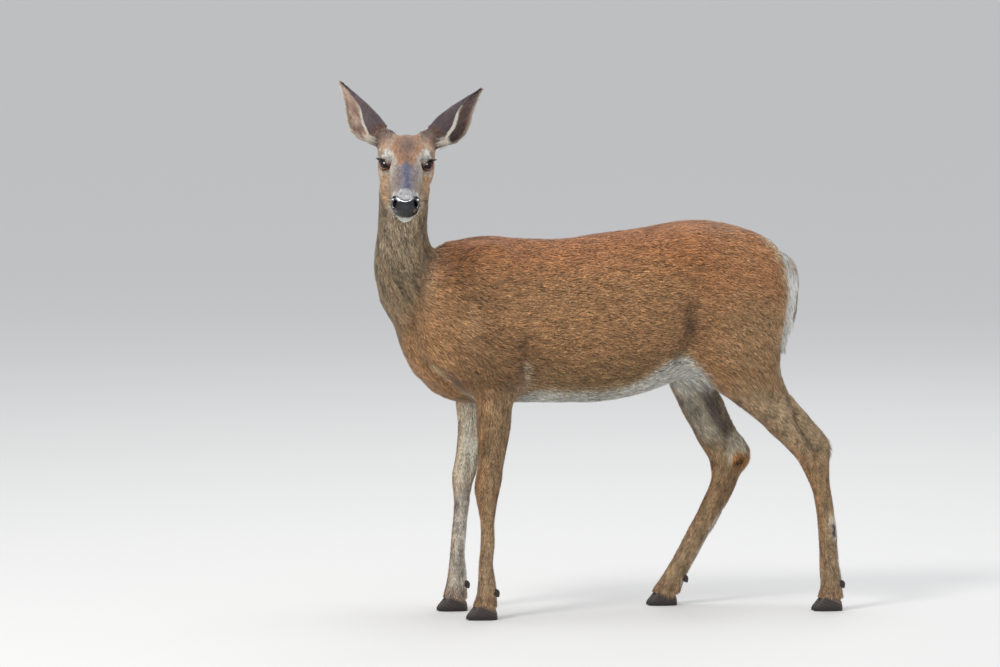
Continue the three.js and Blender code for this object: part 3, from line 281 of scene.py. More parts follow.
def blend_all(P, prims=BODY):
    d = np.full(len(P), 1.0)
    for f, k in prims:
        m = k*1.02+.004
        sel = np.all((P > f.lo-m) & (P < f.hi+m), 1)
        if sel.any(): d[sel] = smin(d[sel], f(P[sel]), k)
    return d
def almond(h, v):
    """signed distance from the lids' edges, in the plane of the eye"""
    hh = h+.0005; vv = v-.06*h
    return np.maximum(np.hypot(hh, vv+.0083)-.0176, np.hypot(hh, vv-.0078)-.0173)
def lids(P, d):
    er = EYE_R
    for C, A, H_, V_, s in EYES:
        sel = ((P-C)**2).sum(1) < .045**2
        if not sel.any(): continue
        Q = P[sel]-C; dd = d[sel]
        a, h, v = Q@A, Q@H_, Q@V_
        k0 = np.sqrt(((a-.012)/.016)**2+(h/.024)**2+(v/.019)**2)
        dd = smax(dd, -(k0-1)*.016, .010)                      # shallow orbit
        R = np.sqrt((Q**2).sum(1))
        dd = smin(dd, R-(er+.0030), .006)                      # lids over the ball
        alm = almond(h, v)
        front = a > .006
        # rims of the lids stand up a little, a fold runs above the upper one and below the lower
        dd = dd-front*.0007*np.exp(-((alm-.0014)/.0012)**2)
        dd = dd+front*.0010*np.exp(-((alm-.0052)/.0013)**2)*np.where(v > 0, 1.0, .6)
        # tear corner towards the nose
        dd = dd+.0016*np.exp(-(((h-.0185)/.0042)**2+((v+.0035)/.0022)**2))*(a > .002)
        dd = smax(dd, -np.maximum(alm, .004-a), .0014)
        d[sel] = np.maximum(dd, (er+.0003)-R)
    return d
# creases and soft folds seen on the body: polylines in the x-z plane, side, half width, depth
CREASES = [
    ([(-186,860),(-209,745),(-214,699),(-212,653),(-200,618),(-163,578),(-127,552)], 0, 13, 5.0),   # shoulder from neck
    ([(-182,593),(-147,565),(-88,510)], 0, 10, 3.0),
    ([(418,715),(418,679),(410,636),(388,602)], 0, 20, 5.5),                                        # flank before the thigh
    ([(26,640),(30,593),(38,535)], 0, 12, 4.0),                                                     # behind the elbow
    ([(659,510),(673,475),(685,440),(707,404),(729,382)], -1, 8, 3.2),                              # before the heel tendon
    ([(520,512),(533,470),(552,430),(575,395)], 1, 8, 3.0),
    ([(-60,330),(-58,270)], 0, 5, 1.0),
    ([(-110,820),(-90,770),(-60,720),(-50,670)], 0, 26, 3.0),                                       # behind the blade
]
def seg_dist(x, z, pts):
    best = np.full(len(x), 9.0)
    for (x0, z0), (x1, z1) in zip(pts[:-1], pts[1:]):
        x0, z0, x1, z1 = x0*MM, z0*MM, x1*MM, z1*MM
        dx, dz = x1-x0, z1-z0
        t = np.clip(((x-x0)*dx+(z-z0)*dz)/(dx*dx+dz*dz), 0, 1)
        best = np.minimum(best, np.hypot(x-x0-t*dx, z-z0-t*dz))
    return best
def creases(P):
    out = np.zeros(len(P)); sel = (P[:, 2] < .90) & (P[:, 2] > .2) & (P[:, 0] > -.26) & (np.abs(P[:, 1]) > .03)
    if not sel.any(): return out
    x, y, z = P[sel].T; add = np.zeros(len(x))
    for pts, side, w, dep in CREASES:
        g = dep*MM*np.exp(-(seg_dist(x, z, pts)/(w*MM))**2)
        if side: g = g*(y*side > 0)
        add = add+g*sstep(.03, .05, np.abs(y))
    out[sel] = add
    return out
def muzzle(P, d):
    """nostrils, groove and mouth"""
    sel = ((P-hp(.13, 0, -.02))**2).sum(1) < .085**2
    if not sel.any(): return d
    Q = (P[sel]-HO) @ EH.T; x, y, z = Q.T; dd = d[sel]; ya = np.abs(y)
    # nostril: a comma, wide in front, its tail curling out, up and back
    def hole(cx, cy, cz, rx, ry, rz, tilt=0.0, yaw=0.0):
        c, s_ = math.cos(yaw), math.sin(yaw)
        px, py, pz = x-cx, ya-cy, z-cz
        px, py = px*c+py*s_, -px*s_+py*c
        c, s_ = math.cos(tilt), math.sin(tilt)
        py, pz = py*c+pz*s_, -py*s_+pz*c
        k0 = np.sqrt((px/rx)**2+(py/ry)**2+(pz/rz)**2)+1e-9
        k1 = np.sqrt((px/rx**2)**2+(py/ry**2)**2+(pz/rz**2)**2)+1e-9
        return k0*(k0-1)/k1
    n1 = hole(.1600, .0232, -.0035, .0120, .0048, .0085, tilt=.20, yaw=.45)
    n2 = hole(.1510, .0290, .0020, .0105, .0030, .0042, tilt=.9, yaw=.6)
    dd = smax(dd, -smin(n1, n2, .004), .0022)
    # groove down the middle of the nose and lip
    dd = dd+.0011*np.exp(-(y/.0011)**2)*sstep(.146, .156, x)*sstep(-.004, -.012, z)
    # mouth line along the side of the muzzle
    line = z+.0405+.05*(x-.12)+.9*np.maximum(.09-x, 0)**1.2
    m = sstep(.055, .075, x)*sstep(.166, .150, x)
    dd = dd+.0022*np.exp(-(line/.0016)**2)*m
    d[sel] = dd
    return d
def gland(P, d):
    sel = ((P-hp(.034, 0, -.002))**2).sum(1) < .075**2
    if not sel.any(): return d
    Q = (P[sel]-HO) @ EH.T; x, y, z = Q.T; ya = np.abs(y)
    t = np.clip(((x-.026)*.020+(z+.0045)*-.008)/(.020**2+.008**2), 0, 1)
    dl = np.hypot(x-.026-t*.020, z+.0045+t*.008)
    d[sel] = d[sel]+.0020*np.exp(-(dl/.0020)**2)*(ya > .02)
    return d
def outline(P):
    """signed distance from the animal's outline, out to the tips of the coat, with its folds"""
    return gland(P, muzzle(P, lids(P, blend_all(P)+1.6*creases(P))))
def coat_depth(P):
    """how far the skin lies inside the outline"""
    x, y, z = P.T
    Q = (P-HO) @ EH.T
    d = .0022+(.0048-.0022)*sstep(.34, .58, z)
    d = d+.0020*sstep(.62, .50, z)*sstep(.42, .50, z)*(np.abs(y) < .10)*sstep(.0, .08, x)*sstep(.50, .40, x)   # belly
    d = d+(.009-.0048)*sstep(.635, .672, x)*sstep(.58, .62, z)*sstep(.875, .845, z)*sstep(.075, .05, np.abs(y))  # tail
    facew = sstep(-.115, -.045, Q[:, 0])*sstep(.115, .085, np.sqrt(Q[:, 1]**2+(Q[:, 2]+.02)**2))*sstep(.90, .95, z)
    d = d+(.0015-d)*facew
    nose = sstep(.146, .152, Q[:, 0])*(z > .9)*sstep(-.032, -.026, Q[:, 2])
    d = d+(.0003-d)*nose
    for e in EARS:
        h = (P-e.O) @ e.E[0]
        near = np.sqrt((((P-e.O)-h[:, None]*e.E[0])**2).sum(1))
        d = d+(.0004-d)*sstep(.012, .040, h)*(near < .05)
    for C, A, H_, V_, s in EYES:
        r = np.sqrt(((P-C)**2).sum(1))
        d = d*(1-.75*sstep(.030, .021, r))
    return d
def skin_field(P): return np.maximum(outline(P)+coat_depth(P), .0018-P[:, 2])

# ------------------------------------------------------------------ surface from the field
def surface_nets(f, lo, hi, h, keep=None, B=8):
    lo = np.array(lo, float); hi = np.array(hi, float)
    nb = np.ceil((hi-lo)/(h*B)).astype(int)
    I = np.stack(np.meshgrid(*[np.arange(n) for n in nb], indexing='ij'), -1).reshape(-1, 3)
    C = lo+(I+.5)*h*B
    if keep is not None:
        k = keep(C) > -h*B*1.3; I, C = I[k], C[k]
    d = f(C)
    I = I[np.abs(d) < h*B*math.sqrt(3)/2*1.45+.010]
    g = np.stack(np.meshgrid(*[np.arange(B+1)]*3, indexing='ij'), -1).reshape(-1, 3)
    N = nb*B+2; vals = []
    for s in range(0, len(I), 400):
        J = I[s:s+400]
        P = lo+(J[:, None]*B+g[None])*h
        vals.append(f(P.reshape(-1, 3)).reshape(len(J), B+1, B+1, B+1).astype(np.float32))
    D = np.concatenate(vals); S = D < 0
    corners = [(0,0,0),(1,0,0),(0,1,0),(1,1,0),(0,0,1),(1,0,1),(0,1,1),(1,1,1)]
    cs = [S[:, a:B+a, b:B+b, c:B+c] for a, b, c in corners]
    cnt = sum(x.astype(np.int8) for x in cs)
    bi, ci, cj, ck = np.nonzero((cnt > 0) & (cnt < 8))
    dv = np.stack([D[bi, ci+a, cj+b, ck+c] for a, b, c in corners], 1)
    acc = np.zeros((len(bi), 3)); num = np.zeros(len(bi)); cor = np.array(corners, float)
    for a in range(8):
        for b in range(a+1, 8):
            if np.abs(cor[a]-cor[b]).sum() != 1: continue
            m = (dv[:, a] < 0) != (dv[:, b] < 0)
            t = dv[m, a]/(dv[m, a]-dv[m, b])
            acc[m] += cor[a]+(cor[b]-cor[a])*t[:, None]; num[m] += 1
    cell = I[bi]*B+np.stack([ci, cj, ck], 1)
    V = lo+(cell+acc/num[:, None])*h
    key = (cell[:, 0]*N[1]+cell[:, 1])*N[2]+cell[:, 2]
    o = np.argsort(key); ks = key[o]
    def look(c):
        k = (c[:, 0]*N[1]+c[:, 1])*N[2]+c[:, 2]
        p = np.clip(np.searchsorted(ks, k), 0, len(ks)-1)
        return o[p], ks[p] == k
    F = []
    for ax in range(3):
        b_, c_ = (ax+1) % 3, (ax+2) % 3
        sl0 = [slice(0, B)]*3; sl1 = [slice(0, B)]*3; sl1[ax] = slice(1, B+1)
        A0 = S[(slice(None), *sl0)]; A1 = S[(slice(None), *sl1)]
        bi2, i, j, k = np.nonzero(A0 != A1)
        node = I[bi2]*B+np.stack([i, j, k], 1)
        flip = A0[bi2, i, j, k]; q = []; good = np.ones(len(node), bool)
        for ob, oc in ((0, 0), (-1, 0), (-1, -1), (0, -1)):
            c = node.copy(); c[:, b_] += ob; c[:, c_] += oc
            p, ok = look(c); good &= ok; q.append(p)
        q = np.stack(q, 1)[good]; fl = flip[good]
        q[~fl] = q[~fl][:, ::-1]
        F.append(q)
    return V, np.concatenate(F)

def refine(V, f, steps=2, e=.0006):
    """pull vertices onto the field's zero"""
    for _ in range(steps):
        d = f(V)
        g = np.stack([f(V+np.eye(3)[i]*e)-d for i in range(3)], 1)/e
        g2 = (g**2).sum(1)+1e-6
        V = V-np.clip(d/g2, -.002, .002)[:, None]*g
    return V

def bm_from(V, F):
    me = bpy.data.meshes.new("t")
    n = len(F); k = F.shape[1]
    me.vertices.add(len(V)); me.vertices.foreach_set("co", V.astype(np.float32).ravel())
    me.loops.add(n*k); me.loops.foreach_set("vertex_index", F.astype(np.int32).ravel())
    me.polygons.add(n); me.polygons.foreach_set("loop_start", np.arange(0, n*k, k, dtype=np.int32))
    me.update(calc_edges=True)
    bm = bmesh.new(); bm.from_mesh(me); bpy.data.meshes.remove(me)
    return bm
def cut(bm, point, normal):
    """drops all on the normal's side"""
    r = bmesh.ops.bisect_plane(bm, geom=bm.verts[:]+bm.edges[:]+bm.faces[:], plane_co=Vector(point), plane_no=Vector(normal), clear_outer=True, dist=1e-6)
def rims(bm, point, normal):
    n = Vector(normal).normalized(); p = Vector(point)
    es = [e for e in bm.edges if e.is_boundary and all(abs((v.co-p).dot(n)) < 2e-5 for v in e.verts)]
    nxt = {}
    for e in es:
        a, b = e.verts; nxt.setdefault(a, []).append(b); nxt.setdefault(b, []).append(a)
    seen, loops = set(), []
    for v in nxt:
        if v in seen: continue
        loop = [v]; seen.add(v); cur = v
        while True:
            step = [w for w in nxt[cur] if w not in seen]
            if not step: break
            cur = step[0]; seen.add(cur); loop.append(cur)
        if len(loop) > 8: loops.append(loop)
    return loops
def bridge(bm, la, lb, normal):
    """closes the gap between two rims round the same limb"""
    n = Vector(normal).normalized()
    c = sum((v.co for v in la), Vector())/len(la)
    a1 = n.orthogonal().normalized(); a2 = n.cross(a1)
    def order(l):
        t = [(math.atan2((v.co-c).dot(a2), (v.co-c).dot(a1)), i, v) for i, v in enumerate(l)]
        t.sort(key=lambda x: x[:2]); return [(x[0], x[2]) for x in t]
    A, B = order(la), order(lb); i = j = 0; na, nb = len(A), len(B)
    while i < na or j < nb:
        ta = A[(i+1) % na][0]+(2*math.pi if i+1 >= na else 0)
        tb = B[(j+1) % nb][0]+(2*math.pi if j+1 >= nb else 0)
        va, vb = A[i % na][1], B[j % nb][1]
        if j >= nb or (i < na and ta <= tb):
            w = A[(i+1) % na][1]; i += 1
        else:
            w = B[(j+1) % nb][1]; j += 1
        if len({va, vb, w}) == 3:
            try: bm.faces.new((va, vb, w))
            except ValueError: pass

NECK_AT, NECK_N = np.array([-.24, -.10, .950]), unit(np.array([0, -.27, .963]))
LEG_Z = .400
H_BODY, H_LEG, H_HEAD = (.0075, .0030, .0017)
SKIN_TRIS = 192000
def build_skin():
    f = skin_field
    def above(P): return (P-NECK_AT) @ NECK_N
    Vh, Fh = surface_nets(f, [-.398, -.345, .90], [.0, .0, 1.262], H_HEAD, keep=above)
    Vh = refine(Vh, f, 1)
    log("head", len(Fh))
    Vl, Fl = surface_nets(f, [-.16, -.135, -.004], [.83, .135, LEG_Z+.02], H_LEG)
    log("legs", len(Fl))
    Vb, Fb = surface_nets(f, [-.335, -.20, LEG_Z-.03], [.83, .165, 1.06], H_BODY, keep=lambda P: -above(P))
    Vb = refine(Vb, f, 1)
    log("trunk", len(Fb))
    gap = .0045
    bh, bl, bb = bm_from(Vh, Fh), bm_from(Vl, Fl), bm_from(Vb, Fb)
    pa, pb = NECK_AT+NECK_N*gap/2, NECK_AT-NECK_N*gap/2
    cut(bh, pa, -NECK_N); cut(bb, pb, NECK_N)
    za, zb = (0, 0, LEG_Z-gap/2), (0, 0, LEG_Z+gap/2)
    cut(bl, za, (0, 0, 1)); cut(bb, zb, (0, 0, -1))
    # one mesh
    out = bmesh.new()
    for b in (bb, bh, bl):
        me = bpy.data.meshes.new("t"); b.to_mesh(me); out.from_mesh(me); bpy.data.meshes.remove(me); b.free()
    L1, L2 = rims(out, pa, NECK_N), rims(out, pb, NECK_N)
    if L1 and L2: bridge(out, max(L1, key=len), max(L2, key=len), NECK_N)
    R1, R2 = rims(out, za, (0, 0, 1)), rims(out, zb, (0, 0, 1))
    mid = lambda l: sum((v.co for v in l), Vector())/len(l)
    for l in R1:
        if R2: bridge(out, l, min(R2, key=lambda m: (mid(m)-mid(l)).length), (0, 0, 1))
    log("rims", len(L1), len(L2), len(R1), len(R2))
    # keep the largest body only
    bmesh.ops.recalc_face_normals(out, faces=out.faces[:])
    out.verts.ensure_lookup_table(); out.verts.index_update()
    n = len(out.verts); comp = np.arange(n)
    E = np.array([(e.verts[0].index, e.verts[1].index) for e in out.edges])
    for _ in range(2000):
        m = np.minimum(comp[E[:, 0]], comp[E[:, 1]]); new = comp.copy()
        np.minimum.at(new, E[:, 0], m); np.minimum.at(new, E[:, 1], m); new = new[new]
        if (new == comp).all(): break
        comp = new
    ids, counts = np.unique(comp, return_counts=True); best = ids[counts.argmax()]
    log("bodies", len(ids), counts.max())
    drop = [v for v in out.verts if comp[v.index] != best]
    if drop: bmesh.ops.delete(out, geom=drop, context='VERTS')
    left = [e for e in out.edges if e.is_boundary]
    log("boundary edges", len(left), [tuple(round(x, 3) for x in e.verts[0].co) for e in left[:200:20]])
    me = bpy.data.meshes.new("skin"); out.to_mesh(me); out.free()
    ob = bpy.data.objects.new("skin_full", me); bpy.context.scene.collection.objects.link(ob)
    tris = sum(len(p.vertices)-2 for p in me.polygons)
    mod = ob.modifiers.new("d", "DECIMATE"); mod.ratio = min(1.0, SKIN_TRIS/tris)
    dep = bpy.context.evaluated_depsgraph_get()
    thin = bpy.data.meshes.new_from_object(ob.evaluated_get(dep)); thin.name = "skin"
    bpy.data.objects.remove(ob)
    log("decimated", tris, len(thin.polygons))
    return thin

skin_me = build_skin()
log("skin", len(skin_me.polygons), "faces")

# ------------------------------------------------------------------ noise
def hash3(i, j, k, seed):
    h = (i*374761393+j*668265263+k*2147483647+seed*1274126177) & 0xffffffff
    h = ((h ^ (h >> 13))*1274126177) & 0xffffffff
    return ((h ^ (h >> 16)) & 0xffff)/65535.0
def noise(P, scale, seed=0):
    """smooth value noise, 0..1; scale in metres along each axis"""
    Q = P/np.array(scale, float)+37.7
    I = np.floor(Q).astype(np.int64); f = Q-I; f = f*f*(3-2*f); out = 0
    for a in (0, 1):
        for b in (0, 1):
            for c in (0, 1):
                w = (f[:, 0] if a else 1-f[:, 0])*(f[:, 1] if b else 1-f[:, 1])*(f[:, 2] if c else 1-f[:, 2])
                out = out+w*hash3(I[:, 0]+a, I[:, 1]+b, I[:, 2]+c, seed)
    return out
def fbm(P, scale, seed=0, n=3):
    out, amp, tot = 0, 1.0, 0
    for i in range(n):
        out = out+amp*noise(P, np.array(scale, float)*np.ones(3)/2**i, seed+i*7); tot += amp; amp *= .5
    return out/tot

# ------------------------------------------------------------------ where a point is on the animal
def interp(x, tab): t = np.array(tab, float); return np.interp(x, t[:, 0]*MM, t[:, 1]*MM)
NAMES = ["trunk", "neck", "head", "ear_right", "ear_left", "tail", "foreleg_left", "foreleg_right", "hindleg_left", "hindleg_right"]
LEG_NAMES = NAMES[6:]
def where(P):
    """soft shares of the body parts, one column each"""
    n = len(P); W = np.zeros((n, len(NAMES))); x, y, z = P.T
    Q = (P-HO) @ EH.T
    # legs below the body
    legw = sstep(.575, .500, z)
    hind = sstep(.20, .26, x); left = (y < 0).astype(float)
    for i, nme in enumerate(LEG_NAMES):
        w = legw*(hind if "hind" in nme else 1-hind)*(left if "left" in nme else 1-left)
        f = LEGS[nme]; r = f.at(z)
        near = np.sqrt(((x-r[:, 2])/(.5*(r[:, 4]+r[:, 5])))**2+((y-r[:, 1])/r[:, 3])**2)
        w = w*np.where(z > .45, sstep(1.9, 1.15, near), 1.0)
        W[:, 6+i] = w
    thigh = sstep(.74, .56, z)*sstep(.40, .47, x)*(1-legw)*.0
    # neck and head
    nk = sstep(-.035, .045, ((P-np.array([-.150, 0, .860])) @ np.array([-.914, 0, .403])))
    hd = sstep(-.012, .014, (P-np.array([-.240, -.115, .950])) @ np.array([-.159, -.749, .643]))*sstep(.86, .90, z)
    for i, e in enumerate(EARS):
        L = (P-e.O) @ e.E.T
        W[:, 3+i] = sstep(.006, .024, L[:, 0])*(np.hypot(L[:, 1]-.01, L[:, 2]) < .065)
    ears = np.clip(W[:, 3]+W[:, 4], 0, 1)
    W[:, 2] = hd*(1-ears); W[:, 1] = nk*(1-hd)*(1-ears)
    rest = 1-np.clip(W[:, 6:].sum(1), 0, 1)
    tl = sstep(.664, .676, x)*(np.abs(y) < .06)*(z > .55)
    W[:, 5] = tl*rest
    W[:, 0] = rest*(1-nk)*(1-ears)*(1-hd)*(1-tl)
    W[:, 1] *= rest
    return W/np.maximum(W.sum(1, keepdims=True), 1e-6)

def tangent(loft, s):
    e = .012; a, b = loft.at(s-e), loft.at(s+e)
    return unit(np.stack([(b[:, 2]+(b[:, 4]-b[:, 5])/2)-(a[:, 2]+(a[:, 4]-a[:, 5])/2), b[:, 1]-a[:, 1], np.full(len(s), 2*e)], 1))
def lie(P, N, W):
    """which way the hair lies"""
    x, y, z = P.T; n = len(P); D = np.zeros((n, 3))
    # trunk: back along the body, falling away over shoulder, thigh and rump
    t = np.zeros((n, 3)); t[:, 0] = 1.0
    t[:, 2] = -.10-.55*sstep(.02, -.13, x)*sstep(.86, .70, z)-.35*sstep(.06, -.04, x)*sstep(.70, .58, z)
    t[:, 2] += -.75*sstep(.44, .62, x)*sstep(.76, .60, z)-.9*sstep(.60, .67, x)-.25*sstep(.40, .55, x)
    t[:, 2] += .30*sstep(.30, .38, x)*sstep(.46, .41, x)*sstep(.74, .62, z)         # the hair climbs into the flank fold
    t[:, 2] += .18*(fbm(P, (.12, .2, .07), 3, 2)-.5)*sstep(.0, .15, x)
    t[:, 1] += .35*np.sign(y)*sstep(.56, .66, x)*sstep(.10, .03, np.abs(y))
    D += t*W[:, :1]
    # neck: down towards the chest
    nt = -tangent(neck, z); nt[:, 0] += .10; nt[:, 1] += .10*(fbm(P, .05, 5, 2)-.5)
    D += nt*W[:, 1:2]
    # head: from the nose back
    Q = (P-HO) @ EH.T
    hdir = np.tile(-XH, (n, 1)) + (-ZH)*(.45*sstep(.0, -.05, Q[:, 2])*sstep(.12, .0, Q[:, 0]))[:, None]
    hdir = hdir + YH*(.55*np.clip(Q[:, 1]/.04, -1, 1)*sstep(.02, -.05, Q[:, 0])*sstep(.0, .02, Q[:, 2]))[:, None]
    for C, A, H_, V_, s in EYES:
        q = P-C; h, v = q@H_, q@V_; r = np.hypot(h-.012, v+.002)+1e-6; w = np.exp(-((r-.012)/.016)**2)*((q@A) > 0)
        hdir = hdir+((H_[None]*(h-.012)[:, None]+V_[None]*(v+.002)[:, None])/r[:, None])*(w*1.1)[:, None]
    D += hdir*W[:, 2:3]
    for i, e in enumerate(EARS):
        cup, h, m = e.inside(P)
        a = np.tile(e.E[0], (n, 1)) + e.E[1]*(np.where(cup > 0, 1, .12)*.55*sstep(.5, .0, m)*(cup > 0))[:, None]
        D += a*W[:, 3+i:4+i]
    td = np.zeros((n, 3)); td[:, 2] = -1; td[:, 1] = .30*np.clip(y/.03, -1, 1); td[:, 0] = .22
    D += td*W[:, 5:6]
    for i, nme in enumerate(LEG_NAMES):
        lt = -tangent(LEGS[nme], np.clip(z, .03, .70)); lt[:, 0] += .15*sstep(.35, .55, z)
        D += lt*W[:, 6+i:7+i]
    D = D-N*(D*N).sum(1, keepdims=True)
    return unit(D)

# ------------------------------------------------------------------ markings, with painted shade and painted highlights
def rgb(r, g, b):
    c = np.array([r, g, b], float)/255
    return np.where(c <= .04045, c/12.92, ((c+.055)/1.055)**2.4)
def over(c, new, w): return c*(1-w[:, None])+np.asarray(new)*w[:, None]
RUFOUS, RED, FLANK, LOW_SHADE, NECKTAN = rgb(170,112,70), rgb(172,122,82), rgb(168,126,86), rgb(138,110,74), rgb(152,132,104)
WHITE, CREAM, TAN, FAWN, DARK = rgb(232,230,220), rgb(222,208,184), rgb(166,136,100), rgb(176,122,78), rgb(58,42,34)
GREY, EARGREY, BLACK, PINK = rgb(134,116,112), rgb(88,74,78), rgb(16,14,14), rgb(150,104,88)
BELLY_EDGE = [(-300,480),(-20,480),(30,520),(47,530),(120,528),(213,526),(261,530),(309,552),(344,575),(368,588),(404,600),(450,604),(520,590)]
def coat_colour(P, N, W):
    x, y, z = P.T; ya = np.abs(y); n = len(P)
    wob = fbm(P, .03, 11, 3)-.5; wob2 = fbm(P, .09, 23, 2)-.5; fine = fbm(P, (.03, .006, .004), 31, 2)-.5
    # trunk
    c = np.tile(FLANK, (n, 1))
    c = over(c, RUFOUS, sstep(.74, .885, z+.025*wob2+.05*sstep(.3, .5, x)))
    # painted shade: the lower flank is coloured darker where less light reaches it
    c = over(c, LOW_SHADE, .75*sstep(.640, .555, z+.05*wob2)*sstep(-.02, .10, x)*sstep(.46, .40, x))
    c = over(c, RED, .55*sstep(.42, .50, x)*sstep(.66, .80, z))
    c = over(c, rgb(172,130,90), .6*sstep(.05, -.08, x)*sstep(.80, .72, z))
    # painted shade on the lower shoulder and upper arm
    c = over(c, rgb(128,96,64), .75*sstep(.63, .56, z)*sstep(.10, .0, x)*sstep(-.14, -.06, x))
    c = over(c, rgb(204,164,122), .50*np.exp(-(((x+.100)/.020)**2+((z-.685)/.060)**2))*(.6+.8*noise(P, (.006, .01, .05), 97)))                   # painted highlight along the shoulder's ridge
    c = over(c, rgb(118,86,58), .40*np.exp(-(((x-.018)/.026)**2+((z-.625)/.050)**2)))                   # painted shade in the hollow behind the upper arm
    c = over(c, rgb(204,140,90), .45*np.exp(-(((x-.425)/.016)**2+((z-.870)/.035)**2)))                  # painted highlight on the point of the hip
    c = over(c, rgb(74,54,38), .62*np.exp(-(((x-.424)/.0130)**2+((z-.676)/.030)**2)))                    # flank shadow
    # painted shade: a fainter band of the flank shadow up and down the fold
    c = over(c, rgb(124,94,66), .32*np.exp(-((x-.414)/.026)**2)*sstep(.60, .66, z)*sstep(.76, .69, z))
    c = over(c, rgb(164,132,94), .7*sstep(.46, .56, x)*sstep(.80, .66, z))
    # neck: grey-tan down the front, redder at the sides, streaked
    front = -(N @ unit(np.array([.3, .95, 0])))            # towards the side she looks to
    cn = np.tile(NECKTAN, (n, 1))
    cn = over(cn, rgb(172,132,96), .65*sstep(.25, -.35, front))
    cn = over(cn, rgb(184,168,144), .45*sstep(.45, .95, front)*sstep(.80, .90, z))
    streak = fbm(P, (.005, .005, .035), 41, 2)
    cn = over(cn, rgb(92,72,56), .55*sstep(.50, .72, streak)*sstep(-.1, .6, front)*sstep(.66, .78, z))
    cn = over(cn, rgb(158,124,88), .6*sstep(.80, .66, z))
    cn = over(cn, rgb(206,184,152), .40*sstep(.0, .05, -(x+.285)))                                      # light edge in front
    # throat patch under the jaw
    Q = (P-HO) @ EH.T; hx, hy, hz = Q.T; hya = np.abs(hy)
    throat = np.exp(-(((P-hp(.02, 0, -.085))**2).sum(1))/.034**2)
    cn = over(cn, rgb(222,212,194), .60*throat)
    # legs
    legs = np.zeros((n, 3)); lw = W[:, 6:].sum(1)
    for i, nme in enumerate(LEG_NAMES):
        f = LEGS[nme]; r = f.at(z); s = -1 if "left" in nme else 1; far = "right" in nme
        inn = -s*(y-r[:, 1])/r[:, 3]                       # 1 on the inner side
        cx = r[:, 2]+(r[:, 4]-r[:, 5])/2; fr = -(x-cx)/(.5*(r[:, 4]+r[:, 5]))    # 1 in front
        cl = np.tile(TAN, (n, 1))
        cl = over(cl, rgb(168,118,74), .55*sstep(.2, .9, fr)*sstep(.9, .2, inn))
        cl = over(cl, rgb(150,122,92), .5*sstep(.45, .30, z)*sstep(.2, -.6, fr))
        cl = over(cl, rgb(184,160,130), .40*sstep(.30, .12, z))
        if "hind" in nme:
            cl = over(cl, rgb(176,154,124), .6*sstep(.34, .42, z)*sstep(.56, .48, z))
            # painted shade in the groove before the heel tendon
            cl = over(cl, rgb(96,72,52), .45*np.exp(-(seg_dist(x, z, [(659,510),(673,475),(685,440),(707,404),(729,382)])/.0055)**2)*(y < 0))
            cl = over(cl, CREAM, sstep(.30, .62, inn+.25*wob)*sstep(.37, .43, z)*.95)
            cl = over(cl, WHITE, sstep(.05, .45, inn+.2*wob)*sstep(.50, .57, z))
            # painted shade on the inner side at the top of the hind legs
            cl = cl*(1-.22*sstep(.40, .47, z)*sstep(.1, .4, inn))[:, None]
            # painted shade, grey, on the inner rear of the gaskin
            cl = over(cl, rgb(104,88,82), .85*sstep(.3, .6, inn)*sstep(.62, .50, z)*sstep(.38, .42, z)*sstep(.25, -.25, fr))
            cl = over(cl, rgb(120,88,62), .5*sstep(.3, .7, inn)*sstep(.39, .34, z)*sstep(.18, .24, z)*sstep(.4, -.3, fr))
            cl = over(cl, WHITE, .8*sstep(-.55, -.85, fr+.15*wob)*sstep(.245, .225, z)*sstep(.045, .06, z)*sstep(-.8, -.2, inn))
            # metatarsal gland on the outer rear of the cannon
            zz = .198; g = np.sqrt(((z-zz)/.031)**2+((fr+.52)/.40)**2)
            outer = inn < .1
            cl = over(cl, rgb(212,200,180), .85*sstep(1.20, .7, g+.8*wob)*outer); cl = over(cl, rgb(70,62,66), sstep(1.0, .6, np.sqrt(((z-zz)/.020)**2+((fr+.50)/.15)**2))*outer)
            # tarsal gland inside the hock
            gx, gz = (.590, .352) if far else (.752, .392)
            tg = np.sqrt(((x-gx)/.030)**2+((z-gz)/.030)**2)
            ins_ = inn > .12
            cl = over(cl, rgb(228,214,188), sstep(1.25, .75, np.sqrt(((x-gx+.008)/.027)**2+((z-gz-.026)/.036)**2)+.5*wob)*ins_)
            cl = over(cl, rgb(190,134,76), sstep(1.2, .7, np.sqrt(((x-gx)/.021)**2+((z-gz-.001)/.018)**2)+.4*wob)*ins_)
            cl = over(cl, rgb(62,40,26), sstep(1.15, .6, np.sqrt(((x-gx-.001)/.013)**2+((z-gz+.005)/.009)**2)+.4*wob)*ins_)
        else:
            cl = over(cl, rgb(232,220,198), .9*sstep(.35, .75, inn+.15*wob)*sstep(.26, .34, z))
            cl = over(cl, rgb(206,196,182), .9*sstep(.15, .60, inn+.15*wob)*sstep(.34, .26, z))
            cl = over(cl, rgb(226,206,176), .85*sstep(.45, .70, fr)*sstep(.02, .30, inn)*sstep(.28, .36, z)*sstep(.57, .52, z))
            cl = over(cl, WHITE, .75*sstep(-.5, -.85, fr+.1*wob)*sstep(.26, .22, z)*sstep(.05, .07, z)*sstep(-.7, .1, inn))
            cl = over(cl, rgb(140,94,60), .5*np.exp(-((z-.29)/.025)**2)*sstep(-.2, -.8, fr))
        cl = over(cl, rgb(150,116,86), .5*sstep(.075, .045, z))
        legs += cl*W[:, 6+i:7+i]
